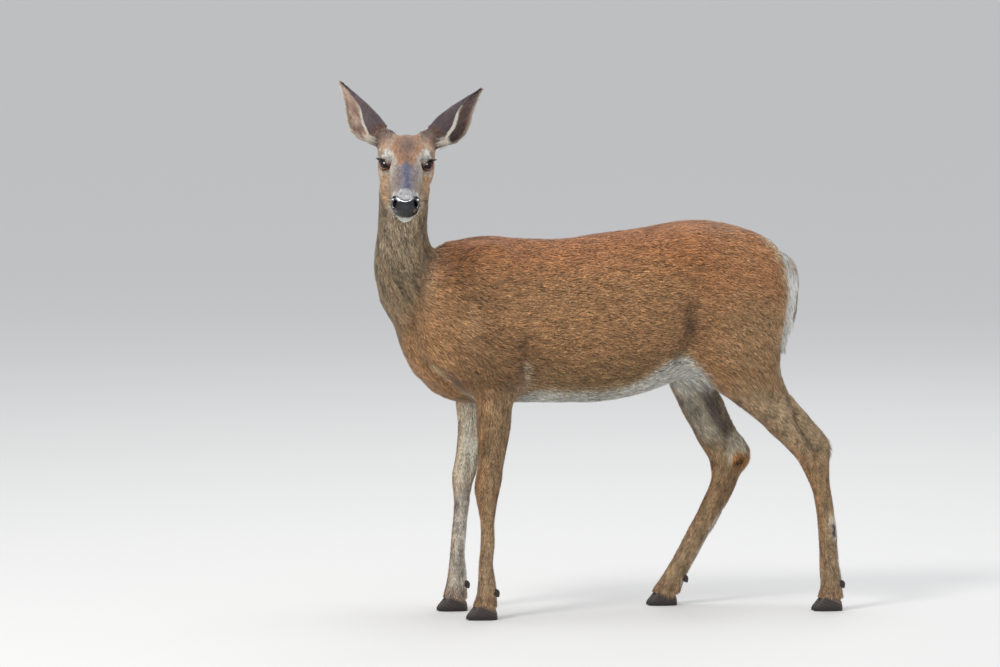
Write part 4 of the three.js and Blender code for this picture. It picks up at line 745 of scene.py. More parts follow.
    # whites of the trunk
    edge = interp(x, BELLY_EDGE)
    offside = 1-sstep(.405, .440, x)*sstep(.078, .100, ya)
    belly = sstep(.010, -.008, z-edge+.016*wob)*sstep(.0, .04, x)*offside
    c = over(c, rgb(186,160,122), .6*sstep(.026, .004, z-edge+.02*wob)*sstep(.0, .06, x)*offside)
    c = over(c, rgb(214,210,198), belly)
    groin = sstep(.085, .055, ya)*sstep(.32, .40, x)*sstep(.69, .62, z)
    c = over(c, WHITE, groin)
    ax = seg_dist(x, z, [(26, 612), (31, 585), (40, 530)])
    c = over(c, rgb(222,198,164), .92*np.exp(-(ax/.0075)**2)*sstep(.06, .085, ya)*sstep(.622, .585, z+.02*wob2))
    br = seg_dist(x, z, [(-182, 596), (-147, 567), (-88, 512)])
    # painted shade along the fold under the brisket's light stripe
    c = over(c, rgb(104,74,50), .45*np.exp(-((br-.009)/.005)**2)*(y < 0)*sstep(.045, .07, ya))
    c = over(c, rgb(220,192,154), .90*np.exp(-(br/.0050)**2)*(y < 0)*sstep(.045, .07, ya))
    c = over(c, rgb(196,168,130), .5*sstep(.53, .50, z)*sstep(.05, -.02, x)*sstep(.06, .03, ya))
    rin = interp(z*1.0, [(560, 640), (612, 650), (640, 656), (682, 668), (729, 673), (776, 670), (818, 660), (853, 642), (875, 622)])
    rough_ = fbm(P, .013, 29, 3)-.5; oval = np.abs(ya/.098)**2.6+np.abs((z-.735)/.150)**2.6
    c = over(c, rgb(206,176,140), .60*sstep(-.040, -.012, x-rin+.030*rough_)*sstep(1.75, 1.05, oval+.9*rough_))
    rump = sstep(-.022, .0, x-rin+.026*rough_)*sstep(1.20, .80, oval+.8*rough_)
    c = over(c, WHITE, .95*rump)
    # tail: brown along the top, long white fringe
    ct = np.tile(WHITE, (n, 1)); back = N[:, 0]
    ct = over(ct, rgb(244,243,238), np.full(n, .8))
    ct = over(ct, rgb(156,112,80), .92*sstep(.025, .011, ya+.012*rough_)*sstep(.30, .75, back)*sstep(.60, .67, z))
    ct = over(ct, rgb(104,76,58), sstep(.018, .006, ya+.008*rough_)*sstep(.4, .8, back)*sstep(.76, .68, z)*.6)
    # head
    ch = np.tile(rgb(170,155,138), (n, 1))
    top = sstep(-.010, .020, hz); hyc = np.abs(hy-.002)
    ch = over(ch, rgb(216,172,128), .82*sstep(.028, .043, hya+.004*wob)*sstep(.135, .08, hx)*sstep(.016, -.010, hz))      # outer cheek
    ch = over(ch, rgb(146,108,76), .45*sstep(.50, .66, fbm(np.stack([hx+.8*hz, hy, hz-.6*hx], 1), (.030, .01, .005), 53, 2))*sstep(.024, .036, hya)*sstep(.13, .09, hx)*sstep(.010, -.012, hz))
    ch = over(ch, rgb(150,124,102), .5*sstep(.0, -.04, hz)*sstep(.04, .09, hx))
    ch = over(ch, rgb(152,142,138), .55*sstep(.034, .018, hya)*sstep(.050, .070, hx)*top)
    # darker hair between and before the ears, temples
    ch = over(ch, rgb(146,116,90), .6*sstep(.026, .040, hya)*sstep(.0, -.03, hx)*sstep(-.01, .02, hz))
    ch = over(ch, rgb(92,77,70), .85*sstep(-.048, -.074, hx+.25*(hya-.03))*sstep(-.01, .02, hz))
    # rufous patch on the forehead: grey-brown in the middle, orange along its edges
    ragged = fbm(Q, .0085, 61, 3)-.5; hyc = np.abs(hy-.0015)
    hwid = np.interp(hx, [-.085, -.062, -.035, -.008, .014, .030, .044, .056, .070], [.016, .023, .0295, .0340, .0335, .0265, .0200, .0150, .0070])
    fore = sstep(.0060, -.0060, hyc-hwid+.016*ragged+.004*wob)*sstep(-.092, -.066, hx)*sstep(.078, .056, hx+.030*ragged)*sstep(.002, .018, hz)
    ch = over(ch, rgb(162,120,90), .92*fore)
    ch = over(ch, rgb(112,90,80), .86*np.exp(-((((hx+.006)/.050)**2+(hyc/.0215)**2)**1.4))*fore)
    ch = over(ch, rgb(188,132,88), .60*sstep(-.012, -.004, hyc-hwid+.010*ragged)*sstep(-.030, .0, hx)*fore)
    ch = over(ch, rgb(112,92,84), .55*sstep(.040, .064, hx)*sstep(.014, .006, hyc)*fore)
    ch = ch*(1-.26*sstep(.50, .66, fbm(Q, (.006, .0028, .0028), 57, 2))*fore)[:, None]
    # hair between the patch and the ears: dark, streaked
    ch = over(ch, rgb(96,80,80), .70*sstep(.0, .008, hyc-hwid+.010*ragged)*sstep(-.028, -.052, hx-.35*(hya-.03))*sstep(-.005, .02, hz)*(.7+.6*noise(Q, (.02, .004, .004), 63)))
    # temples, warm
    ch = over(ch, rgb(206,166,136), .45*sstep(.004, .012, hyc-hwid)*sstep(-.050, -.028, hx)*sstep(.010, -.010, hx)*top)
    # bridge: a blue-grey middle that fades out through violet-grey
    along = sstep(.048, .068, hx+.020*ragged)*sstep(.150, .134, hx)*top
    ch = over(ch, rgb(138,124,128), .66*sstep(.034, .016, hya+.012*ragged)*along)
    ch = over(ch, rgb(82,90,118), .86*np.exp(-(np.abs(hy-.0025+.010*ragged)/np.interp(hx, [.05, .075, .12], [.0085, .0125, .0115]))**2.4)*along)
    ch = over(ch, rgb(74,66,74), .55*np.exp(-(((hx-.134)/.007)**2+(hy/.0045)**2))*top)
    # light hair down the inner side of the eyes
    ch = over(ch, rgb(214,206,198), .62*np.exp(-(((hya-.0300-.10*(hx-.04))/.0062)**2))*sstep(.016, .034, hx)*sstep(.098, .074, hx)*top)
    # pale ring round the eye, brow patch, tear streak
    for C, A, H_, V_, s in EYES:
        q = P-C; a, h, v = q@A, q@H_, q@V_; alm = almond(h, v); f_ = (a > -.004)
        ring = sstep(.0030, .0052, alm)*sstep(.0215, .0115, alm+.0030*np.where(v > 0, -1, 1)+.006*ragged)*f_*sstep(-.019, -.006, h)
        ch = over(ch, rgb(222,219,212), (.88*np.where(v > -.002, 1, .78))*ring)
        ch = over(ch, rgb(206,202,194), .7*np.exp(-(((h-.012)/.011)**2+((v-.0165)/.0060)**2))*f_)
        ch = over(ch, rgb(204,192,176), .85*np.exp(-(((h-.001)/.0135)**2+((v+.0205)/.0075)**2))*f_)
        ch = over(ch, rgb(176,108,84), .90*sstep(.0082, .0052, alm)*f_*np.maximum(sstep(.002, -.004, v), sstep(.006, .012, h)*sstep(.009, .004, v)))
        ch = over(ch, BLACK, sstep(.0044, .0026, alm)*f_*sstep(-.001, .004, v+.10*h-.25*np.maximum(h-.006, 0))*sstep(.0100, .0035, h))
        ch = over(ch, rgb(30,20,16), sstep(.0020, .0012, alm)*f_)
        ch = over(ch, rgb(66,50,44), .8*np.exp(-(((h-.0235)/.0085)**2+((v+.0060)/.0022)**2))*f_)
    # frosted hair above the pad, a white ring round it, white lip and chin
    speck = sstep(.50, .66, fbm(Q, .0036, 59, 2))
    ch = over(ch, rgb(204,204,208), .90*sstep(.131, .141, hx+.006*wob+.010*ragged-.10*np.maximum(hya-.010, 0))*sstep(-.012, .004, hz)*sstep(.026, .016, hya+.004*wob))
    ch = ch*(1-.55*speck*sstep(.130, .142, hx)*sstep(.024, .016, hya)*top)[:, None]
    ring = np.clip(nose_mask(P, .0095)-nose_mask(P, .0002), 0, 1)*sstep(.010, .002, hz)
    ch = over(ch, rgb(232,230,224), .95*ring)
    ch = over(ch, rgb(206,196,180), .6*sstep(.118, .140, hx+.006*wob)*sstep(.016, .024, hya)*sstep(.008, -.004, hz))
    ch = over(ch, rgb(64,52,48), .60*np.exp(-(((hx-.112)/.010)**2+((hz+.032)/.005)**2))*sstep(.016, .024, hya))           # dark mark by the mouth
    ch = over(ch, WHITE, sstep(-.044, -.050, hz+.003*wob)*sstep(.045, .085, hx))
    ch = over(ch, rgb(216,204,186), .7*sstep(-.058, -.070, hz)*sstep(-.09, -.03, hx)*sstep(.040, .025, hya))
    line = hz+.0405+.05*(hx-.12)+.9*np.maximum(.09-hx, 0)**1.2
    ch = over(ch, rgb(38,30,30), .85*np.exp(-(line/.0016)**2)*sstep(.070, .090, hx)*sstep(.168, .155, hx))
    pad = nose_mask(P)
    ch = over(ch, rgb(24,23,27), pad)
    # ears
    ce = np.zeros((n, 3)); ew = np.zeros(n)
    for i, e in enumerate(EARS):
        cup, h, m = e.inside(P); L = (P-e.O) @ e.E.T
        outc = np.tile(EARGREY, (n, 1))
        outc = over(outc, rgb(140,104,76), .75*sstep(.045, .012, h)); outc = over(outc, rgb(110,96,98), .5*sstep(.3, .8, fbm(P, .02, 61, 2)))
        outc = over(outc, rgb(36,28,28), .8*sstep(.135, .160, h))
        outc = over(outc, CREAM, .8*sstep(.93, .99, m)*sstep(.02, .05, h)*sstep(.165, .15, h))
        # the second ear's inside gets a darker copy of the same inner colour: painted shade
        inc = np.tile(rgb(222,194,176) if i == 0 else rgb(142,122,116), (n, 1))
        inc = over(inc, rgb(146,104,92), .7*sstep(.35, .75, fbm(P, .022, 67, 2))*sstep(.03, .06, h))
        inc = over(inc, rgb(92,72,70), .55*sstep(.55, .95, m)*sstep(.55, .35, fbm(P, .03, 71, 2)))
        inc = over(inc, rgb(70,56,56), .5*sstep(.030, .010, h))
        mw = (.026 if i == 0 else .036)*(.45+1.1*fbm(P, .010, 73, 2)); inc = over(inc, rgb(228,222,212), .88*sstep(mw, mw*.35, m)*sstep(.012, .03, h)*sstep(.122, .085, h))
        inc = over(inc, rgb(156,84,76), .45*np.exp(-((m-.14-.05*np.sin(h*130))/.055)**2)*sstep(.03, .05, h)*sstep(.115, .095, h)*sstep(.42, .60, fbm(P, .012, 75, 2)))
        inc = over(inc, CREAM, .5*sstep(.90, .99, m)*sstep(.03, .06, h))
        cc = np.where((cup > 0)[:, None], inc, outc)
        # white tuft in the notch at the root
        cc = over(cc, rgb(214,204,190), .8*np.exp(-(((P-(e.O+e.E[0]*.018+e.E[1]*.026+e.E[2]*.010))**2).sum(1))/.011**2))
        ce += cc*W[:, 3+i:4+i]; ew += W[:, 3+i]
    out = c*W[:, :1]+cn*W[:, 1:2]+ch*W[:, 2:3]+ce+ct*W[:, 5:6]+legs
    # painted shade in the creases and folds, sparing the brisket and armpit lines
    out = out*(1-.26*np.clip(creases(P)/.005, 0, 1)*(W[:, 0]+lw)*(1-np.exp(-(br/.010)**2)*(y < 0))*(1-np.exp(-(ax/.012)**2)))[:, None]
    scar = seg_dist(x, z, [(50, 776), (82, 766), (104, 757), (126, 754)]); out = over(out, rgb(70,48,36), .75*np.exp(-(scar/.0019)**2)*(y < -.05))
    scar = seg_dist(x, z, [(-106, 712), (-92, 713)]); out = over(out, rgb(84,60,44), .6*np.exp(-(scar/.0018)**2)*(y < -.05))
    scar = seg_dist(x, z, [(500, 742), (530, 752), (562, 757)]); out = over(out, rgb(206,172,132), .35*np.exp(-(scar/.0024)**2)*(y < -.05))
    tb = W[:, 0]
    # painted shade on the lower chest behind the elbow and along the lower flank
    out = out*(1-tb*(.26*sstep(.70, .62, z)*sstep(.10, .03, x)*sstep(-.17, -.12, x)+.11*sstep(.67, .60, z)*sstep(.05, .12, x)*sstep(.42, .37, x)))[:, None]
    out = out*(1+W[:, 1]*.13*sstep(.30, -.20, front))[:, None]
    out = out*(1+.15*tb*sstep(-.08, -.13, x)*sstep(.66, .60, z))[:, None]
    out = out*(1+np.outer(tb*sstep(.72, .84, z)*sstep(-.1, .5, x), np.array([0, .07, .11])))
    # painted shade on the far hind leg's gaskin
    out = out*(1-.40*W[:, 9]*sstep(.36, .40, z)*sstep(.56, .48, z))[:, None]
    def spot(cx, cz, rx, rz): return np.exp(-(((x-cx)/rx)**2+((z-cz)/rz)**2))
    out = out*(1+np.outer(spot(-.180, .795, .032, .055)*(tb+W[:, 1]), np.array([.13, .15, .20])))
    out = out*(1+np.outer(spot(-.200, .630, .036, .036)*(tb+W[:, 1]), np.array([.13, .15, .09])))
    out = out*(1+np.outer(spot(.560, .835, .070, .060)*tb, np.array([.04, .07, .10])))
    out = out*(1+np.outer(spot(-.055, .835, .070, .040)*tb, np.array([.04, .10, .17])))
    out = out*(1-.06*tb*np.exp(-((z-.675)/.045)**2)*sstep(.05, .10, x)*sstep(.40, .36, x))[:, None]
    out = out*(1-.09*(W[:, 8]+tb*sstep(.48, .54, x))*sstep(.64, .60, z)*sstep(.46, .52, z))[:, None]
    out = out*(1-.09*W[:, 6]*sstep(.22, .28, z))[:, None]
    # broad and streaky variation
    lick = fbm(np.stack([x, y, z+.10*x], 1), (.022, .006, .0021), 37, 2)-.5
    lock = fbm(np.stack([x+.5*z, y, z], 1), (.0075, .0075, .048), 39, 2)-.5
    legtex = fbm(P, (.006, .006, .022), 47, 3)-.5
    v = 1+.12*wob2+(.45*fine+1.60*lick)*(W[:, 0]+.45*lw)+(.75*(streak-.5)+2.1*lock)*W[:, 1]+(1.05*(streak-.5)+1.55*legtex)*lw
    v = v+(1.15*(fbm(Q, (.009, .0024, .0024), 43, 2)-.5)+.55*(fbm(Q, (.012, .006, .006), 45, 2)-.5))*W[:, 2]*(1-pad)
    return np.clip(out*v[:, None], 0, 1)
def nose_mask(P, g=0.0):
    Q = (P-HO) @ EH.T; hx, hy, hz = Q.T; hya = np.abs(hy)
    zt = .0060+.0026*(hya/.02)**1.5     # upper edge of the pad
    back = .1462+.42*np.maximum(-.014-hz, 0)                         # its side edge runs forward to the lip
    k = .0042; f = smax(smax(back-hx, hz-zt, k), smax(hya-.0300, -.0410-hz+.22*np.maximum(hya-.012, 0), k), k)
    w = (np.sqrt(((hx-.1510)/.0150)**2+((hya-.0250)/.0105)**2+((hz+.0050)/.0130)**2)-1)*.0115
    f = smin(f, w, .004)-g
    return sstep(.0022, -.0022, f)*(P[:, 2] > .9)

# ------------------------------------------------------------------ how the hair grows
SPARSE = 1.0
#         per m2,  length, width, height (mm)
GROW = dict(trunk=(190e3, 17, 1.9, 4.6), neck=(235e3, 17, 1.7, 4.4), head=(820e3, 6.6, .86, 1.25), ear=(430e3, 7.0, .85, .55), tail=(330e3, 34, 1.5, 8.5), leg=(330e3, 9.0, 1.15, 1.9))
GTAB = np.array([GROW["trunk"], GROW["neck"], GROW["head"], GROW["ear"], GROW["ear"], GROW["tail"]]+[GROW["leg"]]*4, float)
def hair(P, N, W):
    """per square metre, length, width, height of the tufts (metres)"""
    x, y, z = P.T; ya = np.abs(y)
    dens, L, Wd, H = (W @ GTAB).T.copy()
    L *= MM; Wd *= MM; H *= MM
    def mix(a, b, w): return a*(1-w)+b*w
    # upper legs carry body hair
    up = sstep(.34, .56, z)*W[:, 6:].sum(1)
    dens = mix(dens, 215e3, up); L = mix(L, .015, up); Wd = mix(Wd, .0017, up); H = mix(H, .0040, up)
    foot = sstep(.075, .045, z)*W[:, 6:].sum(1)
    L = mix(L, .0085, foot); Wd = mix(Wd, .0011, foot)
    # belly, groin, chest
    edge = interp(x, BELLY_EDGE)
    belly = sstep(.006, -.020, z-edge)*sstep(.0, .05, x)*W[:, 0]
    L = mix(L, .026, belly); H = mix(H, .0062, belly)
    groin = sstep(.085, .055, ya)*sstep(.32, .40, x)*sstep(.69, .60, z)
    L = mix(L, .028, groin); H = mix(H, .0060, groin)
    ax = np.exp(-(seg_dist(x, z, [(26, 612), (31, 585), (40, 530)])/.012)**2)*sstep(.05, .075, ya)
    L = mix(L, .024, ax); H = mix(H, .007, ax)
    chest = sstep(.60, .53, z)*sstep(.02, -.06, x)*W[:, 0]
    L = mix(L, .022, chest); H = mix(H, .0058, chest)
    # rump and tail
    rump = sstep(.622, .655, x)*sstep(.120, .085, ya)*sstep(.53, .58, z)*sstep(.885, .85, z)*W[:, 0]
    L = mix(L, .030, rump); H = mix(H, .0080, rump)
    # head
    Q = (P-HO) @ EH.T; hx, hy, hz = Q.T; hya = np.abs(hy); hw = W[:, 2]
    mz = sstep(.055, .110, hx)*hw
    L = mix(L, .0042, mz); Wd = mix(Wd, .00070, mz); H = mix(H, .00095, mz); dens = mix(dens, 1000e3, mz)
    crown = sstep(-.035, -.075, hx)*sstep(-.01, .02, hz)*hw
    L = mix(L, .0125, crown); Wd = mix(Wd, .0011, crown); H = mix(H, .0024, crown); dens = mix(dens, 520e3, crown)
    jaw = sstep(-.02, -.06, hx+.3*hz)*sstep(.0, -.03, hz)*hw
    L = mix(L, .012, jaw); Wd = mix(Wd, .0012, jaw); H = mix(H, .0026, jaw); dens = mix(dens, 430e3, jaw)
    chin = sstep(-.040, -.052, hz)*sstep(.03, .09, hx)*hw
    L = mix(L, .0085, chin); H = mix(H, .0016, chin)
    for C, A, H_, V_, s in EYES:
        r = np.sqrt(((P-C)**2).sum(1)); k = sstep(.034, .022, r)*hw
        L = mix(L, .0036, k); Wd = mix(Wd, .00070, k); H = mix(H, .00085, k); dens = mix(dens, 1050e3, k)
        q = P-C; a, h, v = q@A, q@H_, q@V_; alm = almond(h, v)
        dens = dens*np.where((a > -.002) & (r < .030), sstep(.0018, .0034, alm), 1.0)
    dens = dens*(1-sstep(.25, .5, nose_mask(P)))
    # ears
    for i, e in enumerate(EARS):
        cup, h, m = e.inside(P); w = W[:, 3+i]; ins = w*(cup > 0); tr = 4*w*(1-w); L = L*(1-.55*tr); H = H*(1-.45*tr)
        L = mix(L, .0105, ins); Wd = mix(Wd, .0008, ins); H = mix(H, .0022, ins); dens = mix(dens, 300e3, ins)
        base = sstep(.060, .034, np.sqrt(((P-e.O-e.E[0]*.006)**2).sum(1)))*np.clip(w+hw, 0, 1); L = mix(L, .0052, base); H = mix(H, .0007, base)
    # glands of the hind legs
    for i, nme in enumerate(LEG_NAMES):
        if "hind" not in nme: continue
        f = LEGS[nme]; r = f.at(z); s = -1 if "left" in nme else 1; w = W[:, 6+i]
        inn = -s*(y-r[:, 1])/r[:, 3]; fr = -(x-(r[:, 2]+(r[:, 4]-r[:, 5])/2))/(.5*(r[:, 4]+r[:, 5]))
        gx, gz = (.590, .352) if s > 0 else (.752, .392)
        tg = sstep(.036, .018, np.hypot(x-gx, z-gz))*(inn > .15)*w
        L = mix(L, .021, tg); H = mix(H, .0055, tg)
        mg = sstep(1.25, .7, np.sqrt(((z-.198)/.030)**2+((fr+.62)/.42)**2))*(inn < .1)*w
        L = mix(L, .015, mg); H = mix(H, .0042, mg)
    # none under the feet nor on the horn
    dens = dens*sstep(.004, .010, z)
    for n_, (fx, fy, _) in FOOT.items():
        near = (np.abs(x-fx) < .09) & (np.abs(y-fy) < .045) & (z < .08)
        dens = np.where(near & ((x-fx)*.41+(z-.033) < .0005), 0, dens)
    return dens*SPARSE, L, Wd/math.sqrt(SPARSE), H

def mesh_arrays(me):
    me.calc_loop_triangles()
    V = np.empty(len(me.vertices)*3, np.float32); me.vertices.foreach_get("co", V)
    T = np.empty(len(me.loop_triangles)*3, np.int32); me.loop_triangles.foreach_get("vertices", T)
    N = np.empty(len(me.vertices)*3, np.float32); me.vertices.foreach_get("normal", N)
    return V.reshape(-1, 3).astype(float), T.reshape(-1, 3), N.reshape(-1, 3).astype(float)
SV, ST, SN = mesh_arrays(skin_me)
a_, b_, c_ = SV[ST[:, 0]], SV[ST[:, 1]], SV[ST[:, 2]]
if (np.einsum('ij,ij->i', a_, np.cross(b_, c_))).sum() < 0:
    skin_me.flip_normals(); SV, ST, SN = mesh_arrays(skin_me); a_, b_, c_ = SV[ST[:, 0]], SV[ST[:, 1]], SV[ST[:, 2]]
area = .5*np.linalg.norm(np.cross(b_-a_, c_-a_), axis=1)
log("skin area m2", round(float(area.sum()), 3))
mid_ = (a_+b_+c_)/3
Wm = where(mid_); Nm = unit(SN[ST].sum(1))
dens_ = hair(mid_, Nm, Wm)[0]
cum = np.cumsum(area*dens_); cnt = np.diff(np.floor(np.concatenate([[0], cum])+RNG.random()).astype(int))
idx = np.repeat(np.arange(len(cnt)), cnt)
u1, u2 = RNG.random(len(idx)), RNG.random(len(idx)); fl = u1+u2 > 1; u1[fl], u2[fl] = 1-u1[fl], 1-u2[fl]
bary = np.stack([1-u1-u2, u1, u2], 1)
RP = (SV[ST[idx]]*bary[:, :, None]).sum(1); RN = unit((SN[ST[idx]]*bary[:, :, None]).sum(1))
RW = where(RP)
dn, RL, RWd, RH = hair(RP, RN, RW)
ok = dn > 0; RP, RN, RW, RL, RWd, RH = RP[ok], RN[ok], RW[ok], RL[ok], RWd[ok], RH[ok]
log("roots", len(RP))
RD = lie(RP, RN, RW)
spread = RW @ np.array([.0026, .0026, .0014, .0, .0, .0030, .0018, .0018, .0018, .0018])
for C, A, H_, V_, s in EYES: spread = spread*(1-.70*sstep(.030, .020, np.sqrt(((RP-C)**2).sum(1))))
RC = coat_colour(RP+RNG.standard_normal(RP.shape)*spread[:, None], RN, RW)
log("coloured")
n = len(RP)
# the lie varies in broad waves and from tuft to tuft
turn = np.radians(9)*RNG.standard_normal(n)+np.radians(16)*(fbm(RP, .030, 81, 2)-.5)*2
S_ = np.cross(RN, RD); RD = unit(RD*np.cos(turn)[:, None]+S_*np.sin(turn)[:, None])
clump = fbm(RP, .014, 91, 2)
RH = RH*(.62+.50*RNG.random(n))*(.80+.40*clump)
RL = RL*(.72+.5*RNG.random(n)); RWd = RWd*(.75+.5*RNG.random(n))
RISE = .74+.16*RNG.random(n)
fly = RNG.random(n) < .05; RH[fly] *= 1.12; RWd[fly] *= .7; RISE[fly] = 1.12
bright = (1+.27*RNG.standard_normal(n).clip(-1.9, 1.9))*(.84+.32*fbm(RP, (.016, .007, .007), 93, 2))
warm = 1+.05*RNG.standard_normal(n)
RC = np.clip(RC*bright[:, None]*np.stack([warm, np.ones(n), 2-warm], 1), 0, 1)
TIP = 1.02+.36*RNG.random(n)

def blades(P, N, D, L, Wd, H, C, tip, segs=1, sag=None, root=.52, rise=None):
    """tufts as tapering blades: vertices, triangles, normals, colours, patch offsets; rise under 1 arches them, so that their tips lie down"""
    n = len(P); S = unit(np.cross(N, D)); k = segs+1; ts = [j/k for j in range(k)]
    V, NR, CO, OF = [], [], [], []
    sag = np.zeros((n, 3)) if sag is None else sag
    for t in ts:
        prof = 1-(1-t)**1.8 if rise is None else (1-(1-min(t/.55, 1))**1.8)*(1-(1-rise)*max(0, 2*t-1))
        c = P+D*(L*t)[:, None]+N*(H*prof-.0006*(t == 0))[:, None]+sag*(t*t)
        w = Wd*(1-.30*t)/2
        for sg in (-1, 1):
            V.append(c+S*(w*sg)[:, None]); NR.append(unit(N+S*(.50*sg)+D*(.10*t)))
            CO.append(C*(root+(1-root)*min(1, t*2))); OF.append((sg*.0012, -.0015+.003*t))
    V.append(P+D*L[:, None]+N*(H*(1 if rise is None else rise))[:, None]+sag); NR.append(unit(N+D*.25)); CO.append(C*tip[:, None]); OF.append((0, .0015))
    m = 2*k+1
    V = np.stack(V, 1); NR = np.stack(NR, 1); CO = np.clip(np.stack(CO, 1), 0, 1)
    F = []
    for r in range(k-1):
        a, b, c, d = 2*r, 2*r+1, 2*r+2, 2*r+3; F += [(a, c, d), (a, d, b)]
    F.append((2*k-2, 2*k, 2*k-1)); F = np.array(F)
    T = (np.arange(n)[:, None, None]*m+F[None]).reshape(-1, 3)
    return V.reshape(-1, 3), T, NR.reshape(-1, 3), CO.reshape(-1, 3), np.tile(np.array(OF), (n, 1)), m

def make_mesh(name, V, T, normals=None, colour=None, uv=None, smooth=True):
    me = bpy.data.meshes.new(name); nt, k = T.shape
    me.vertices.add(len(V)); me.vertices.foreach_set("co", (V+ORIGIN).astype(np.float32).ravel())
    me.loops.add(nt*k); me.loops.foreach_set("vertex_index", T.astype(np.int32).ravel())
    me.polygons.add(nt); me.polygons.foreach_set("loop_start", np.arange(0, nt*k, k, dtype=np.int32))
    me.update(calc_edges=True)
    if smooth: me.shade_smooth()
    if colour is not None: paint(me, "tint", colour)
    if uv is not None:
        l = me.uv_layers.new(name="OFBake"); l.data.foreach_set("uv", uv[T.ravel()].astype(np.float32).ravel())
    if normals is not None:
        a = me.attributes.new("custom_normal", 'FLOAT_VECTOR', 'POINT'); a.data.foreach_set("vector", normals.astype(np.float32).ravel())
    return me
def paint(me, name, colour):
    a = me.attributes.new(name, 'FLOAT_COLOR', 'POINT')
    a.data.foreach_set("color", np.concatenate([colour, np.ones((len(colour), 1))], 1).astype(np.float32).ravel())
def put(me, slot, mat, *nodes):
    ob = bpy.data.objects.new(me.name, me); bpy.context.scene.collection.objects.link(ob)
    me.materials.append(mat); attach(ob, "root")
    if nodes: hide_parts(*nodes)
    return ob

# ------------------------------------------------------------------ materials
def new_mat(name, rough, spec=.35):
    m = bpy.data.materials.new(name); m.use_nodes = True; nt = m.node_tree; nt.nodes.clear()
    out = nt.nodes.new("ShaderNodeOutputMaterial"); b = nt.nodes.new("ShaderNodeBsdfPrincipled")
    nt.links.new(b.outputs[0], out.inputs[0]); b.inputs["Roughness"].default_value = rough
    b.inputs["Specular IOR Level"].default_value = spec
    return m, nt, b
def tinted(nt, b, scale, amount, detail=3.0):
    """attribute colour times a little noise"""
    at = nt.nodes.new("ShaderNodeAttribute"); at.attribute_name = "tint"
    tc = nt.nodes.new("ShaderNodeTexCoord"); no = nt.nodes.new("ShaderNodeTexNoise")
    no.inputs["Scale"].default_value = scale; no.inputs["Detail"].default_value = detail
    nt.links.new(tc.outputs["Object"], no.inputs["Vector"])
    mr = nt.nodes.new("ShaderNodeMapRange"); mr.inputs[1].default_value = .25; mr.inputs[2].default_value = .75
    mr.inputs[3].default_value = 1-amount; mr.inputs[4].default_value = 1+amount
    nt.links.new(no.outputs["Fac"], mr.inputs[0])
    mu = nt.nodes.new("ShaderNodeVectorMath"); mu.operation = 'SCALE'
    nt.links.new(at.outputs["Color"], mu.inputs[0]); nt.links.new(mr.outputs[0], mu.inputs["Scale"])
    nt.links.new(mu.outputs[0], b.inputs["Base Color"])
    return at, tc, no
def bumped(nt, b, height, strength, distance):
    bp = nt.nodes.new("ShaderNodeBump"); bp.inputs["Strength"].default_value = strength; bp.inputs["Distance"].default_value = distance
    nt.links.new(height, bp.inputs["Height"]); nt.links.new(bp.outputs[0], b.inputs["Normal"])
HAIR, nt, b = new_mat("coat_hair", .58, .28); tinted(nt, b, 260, .10)
b.inputs["Sheen Weight"].default_value = .12; b.inputs["Sheen Roughness"].default_value = .5
SKINM, nt, b = new_mat("skin_coat", .72, .15); at, tc, no = tinted(nt, b, 420, .16)
n2 = nt.nodes.new("ShaderNodeTexNoise"); n2.inputs["Scale"].default_value = 900; nt.links.new(tc.outputs["Object"], n2.inputs["Vector"])
bumped(nt, b, n2.outputs["Fac"], .45, .0008)
NOSE, nt, b = new_mat("nose_leather", .18, .50); at, tc, no = tinted(nt, b, 700, .22)
vo = nt.nodes.new("ShaderNodeTexVoronoi"); vo.inputs["Scale"].default_value = 620; nt.links.new(tc.outputs["Object"], vo.inputs["Vector"])
bumped(nt, b, vo.outputs["Distance"], .38, .0007)
LID, nt, b = new_mat("lid", .36, .5); tinted(nt, b, 900, .15)
EYE, nt, b = new_mat("eye", .03, .13); tinted(nt, b, 1200, .05); b.inputs["Coat Weight"].default_value = .02; b.inputs["Coat Roughness"].default_value = .02
LASH, nt, b = new_mat("lash", .45, .4); tinted(nt, b, 900, .1)
HORN, nt, b = new_mat("horn", .42, .4); at, tc, no = tinted(nt, b, 240, .18)
bumped(nt, b, no.outputs["Fac"], .30, .0006)

# ------------------------------------------------------------------ the skin
ALL_FLESH = ["trunk", "neck", "head", "nose", "tail", "ear_left", "ear_right", "foreleg_left", "foreleg_right", "hindleg_left", "hindleg_right"]
SW = where(SV); skin_col = coat_colour(SV, SN, SW)*.62
paint(skin_me, "tint", skin_col); skin_me.shade_smooth()
skin_me.transform(Matrix.Translation(Vector(ORIGIN)))
skin_ob = put(skin_me, "coat_body", SKINM, *ALL_FLESH)
log("skin painted")

# ------------------------------------------------------------------ unwraps of the skin's shape
def unwrap(P, part):
    x, y, z = P.T
    if part == "trunk":
        r = trunk.at(x); zc = .72; rho = np.hypot(y, (z-zc)*.8)
        s = np.where(x > .58, .58+.14*np.arctan2(x-.58, rho), x); s = np.where(x < -.06, -.06-.14*np.arctan2(-.06-x, rho), s)
        return s, np.arctan2(y, z-zc)
    if part == "neck":
        r = neck.at(z); return z, np.arctan2(y-r[:, 1], x-r[:, 2])
    if part == "head":
        Q = (P-HO) @ EH.T; q = Q-np.array([0, 0, -.02]); rho = np.hypot(q[:, 1], q[:, 2])
        s = np.where(q[:, 0] > .13, .13+.03*np.arctan2(q[:, 0]-.13, rho), q[:, 0])
        s = np.where(q[:, 0] < -.05, -.05-.05*np.arctan2(-.05-q[:, 0], rho), s)
        return s, np.arctan2(q[:, 1], q[:, 2])
    if part == "tail": return z, np.arctan2(y, x-.684)
    f = LEGS[part]; r = f.at(z); return z, np.arctan2(y-r[:, 1], x-(r[:, 2]+(r[:, 4]-r[:, 5])/2))
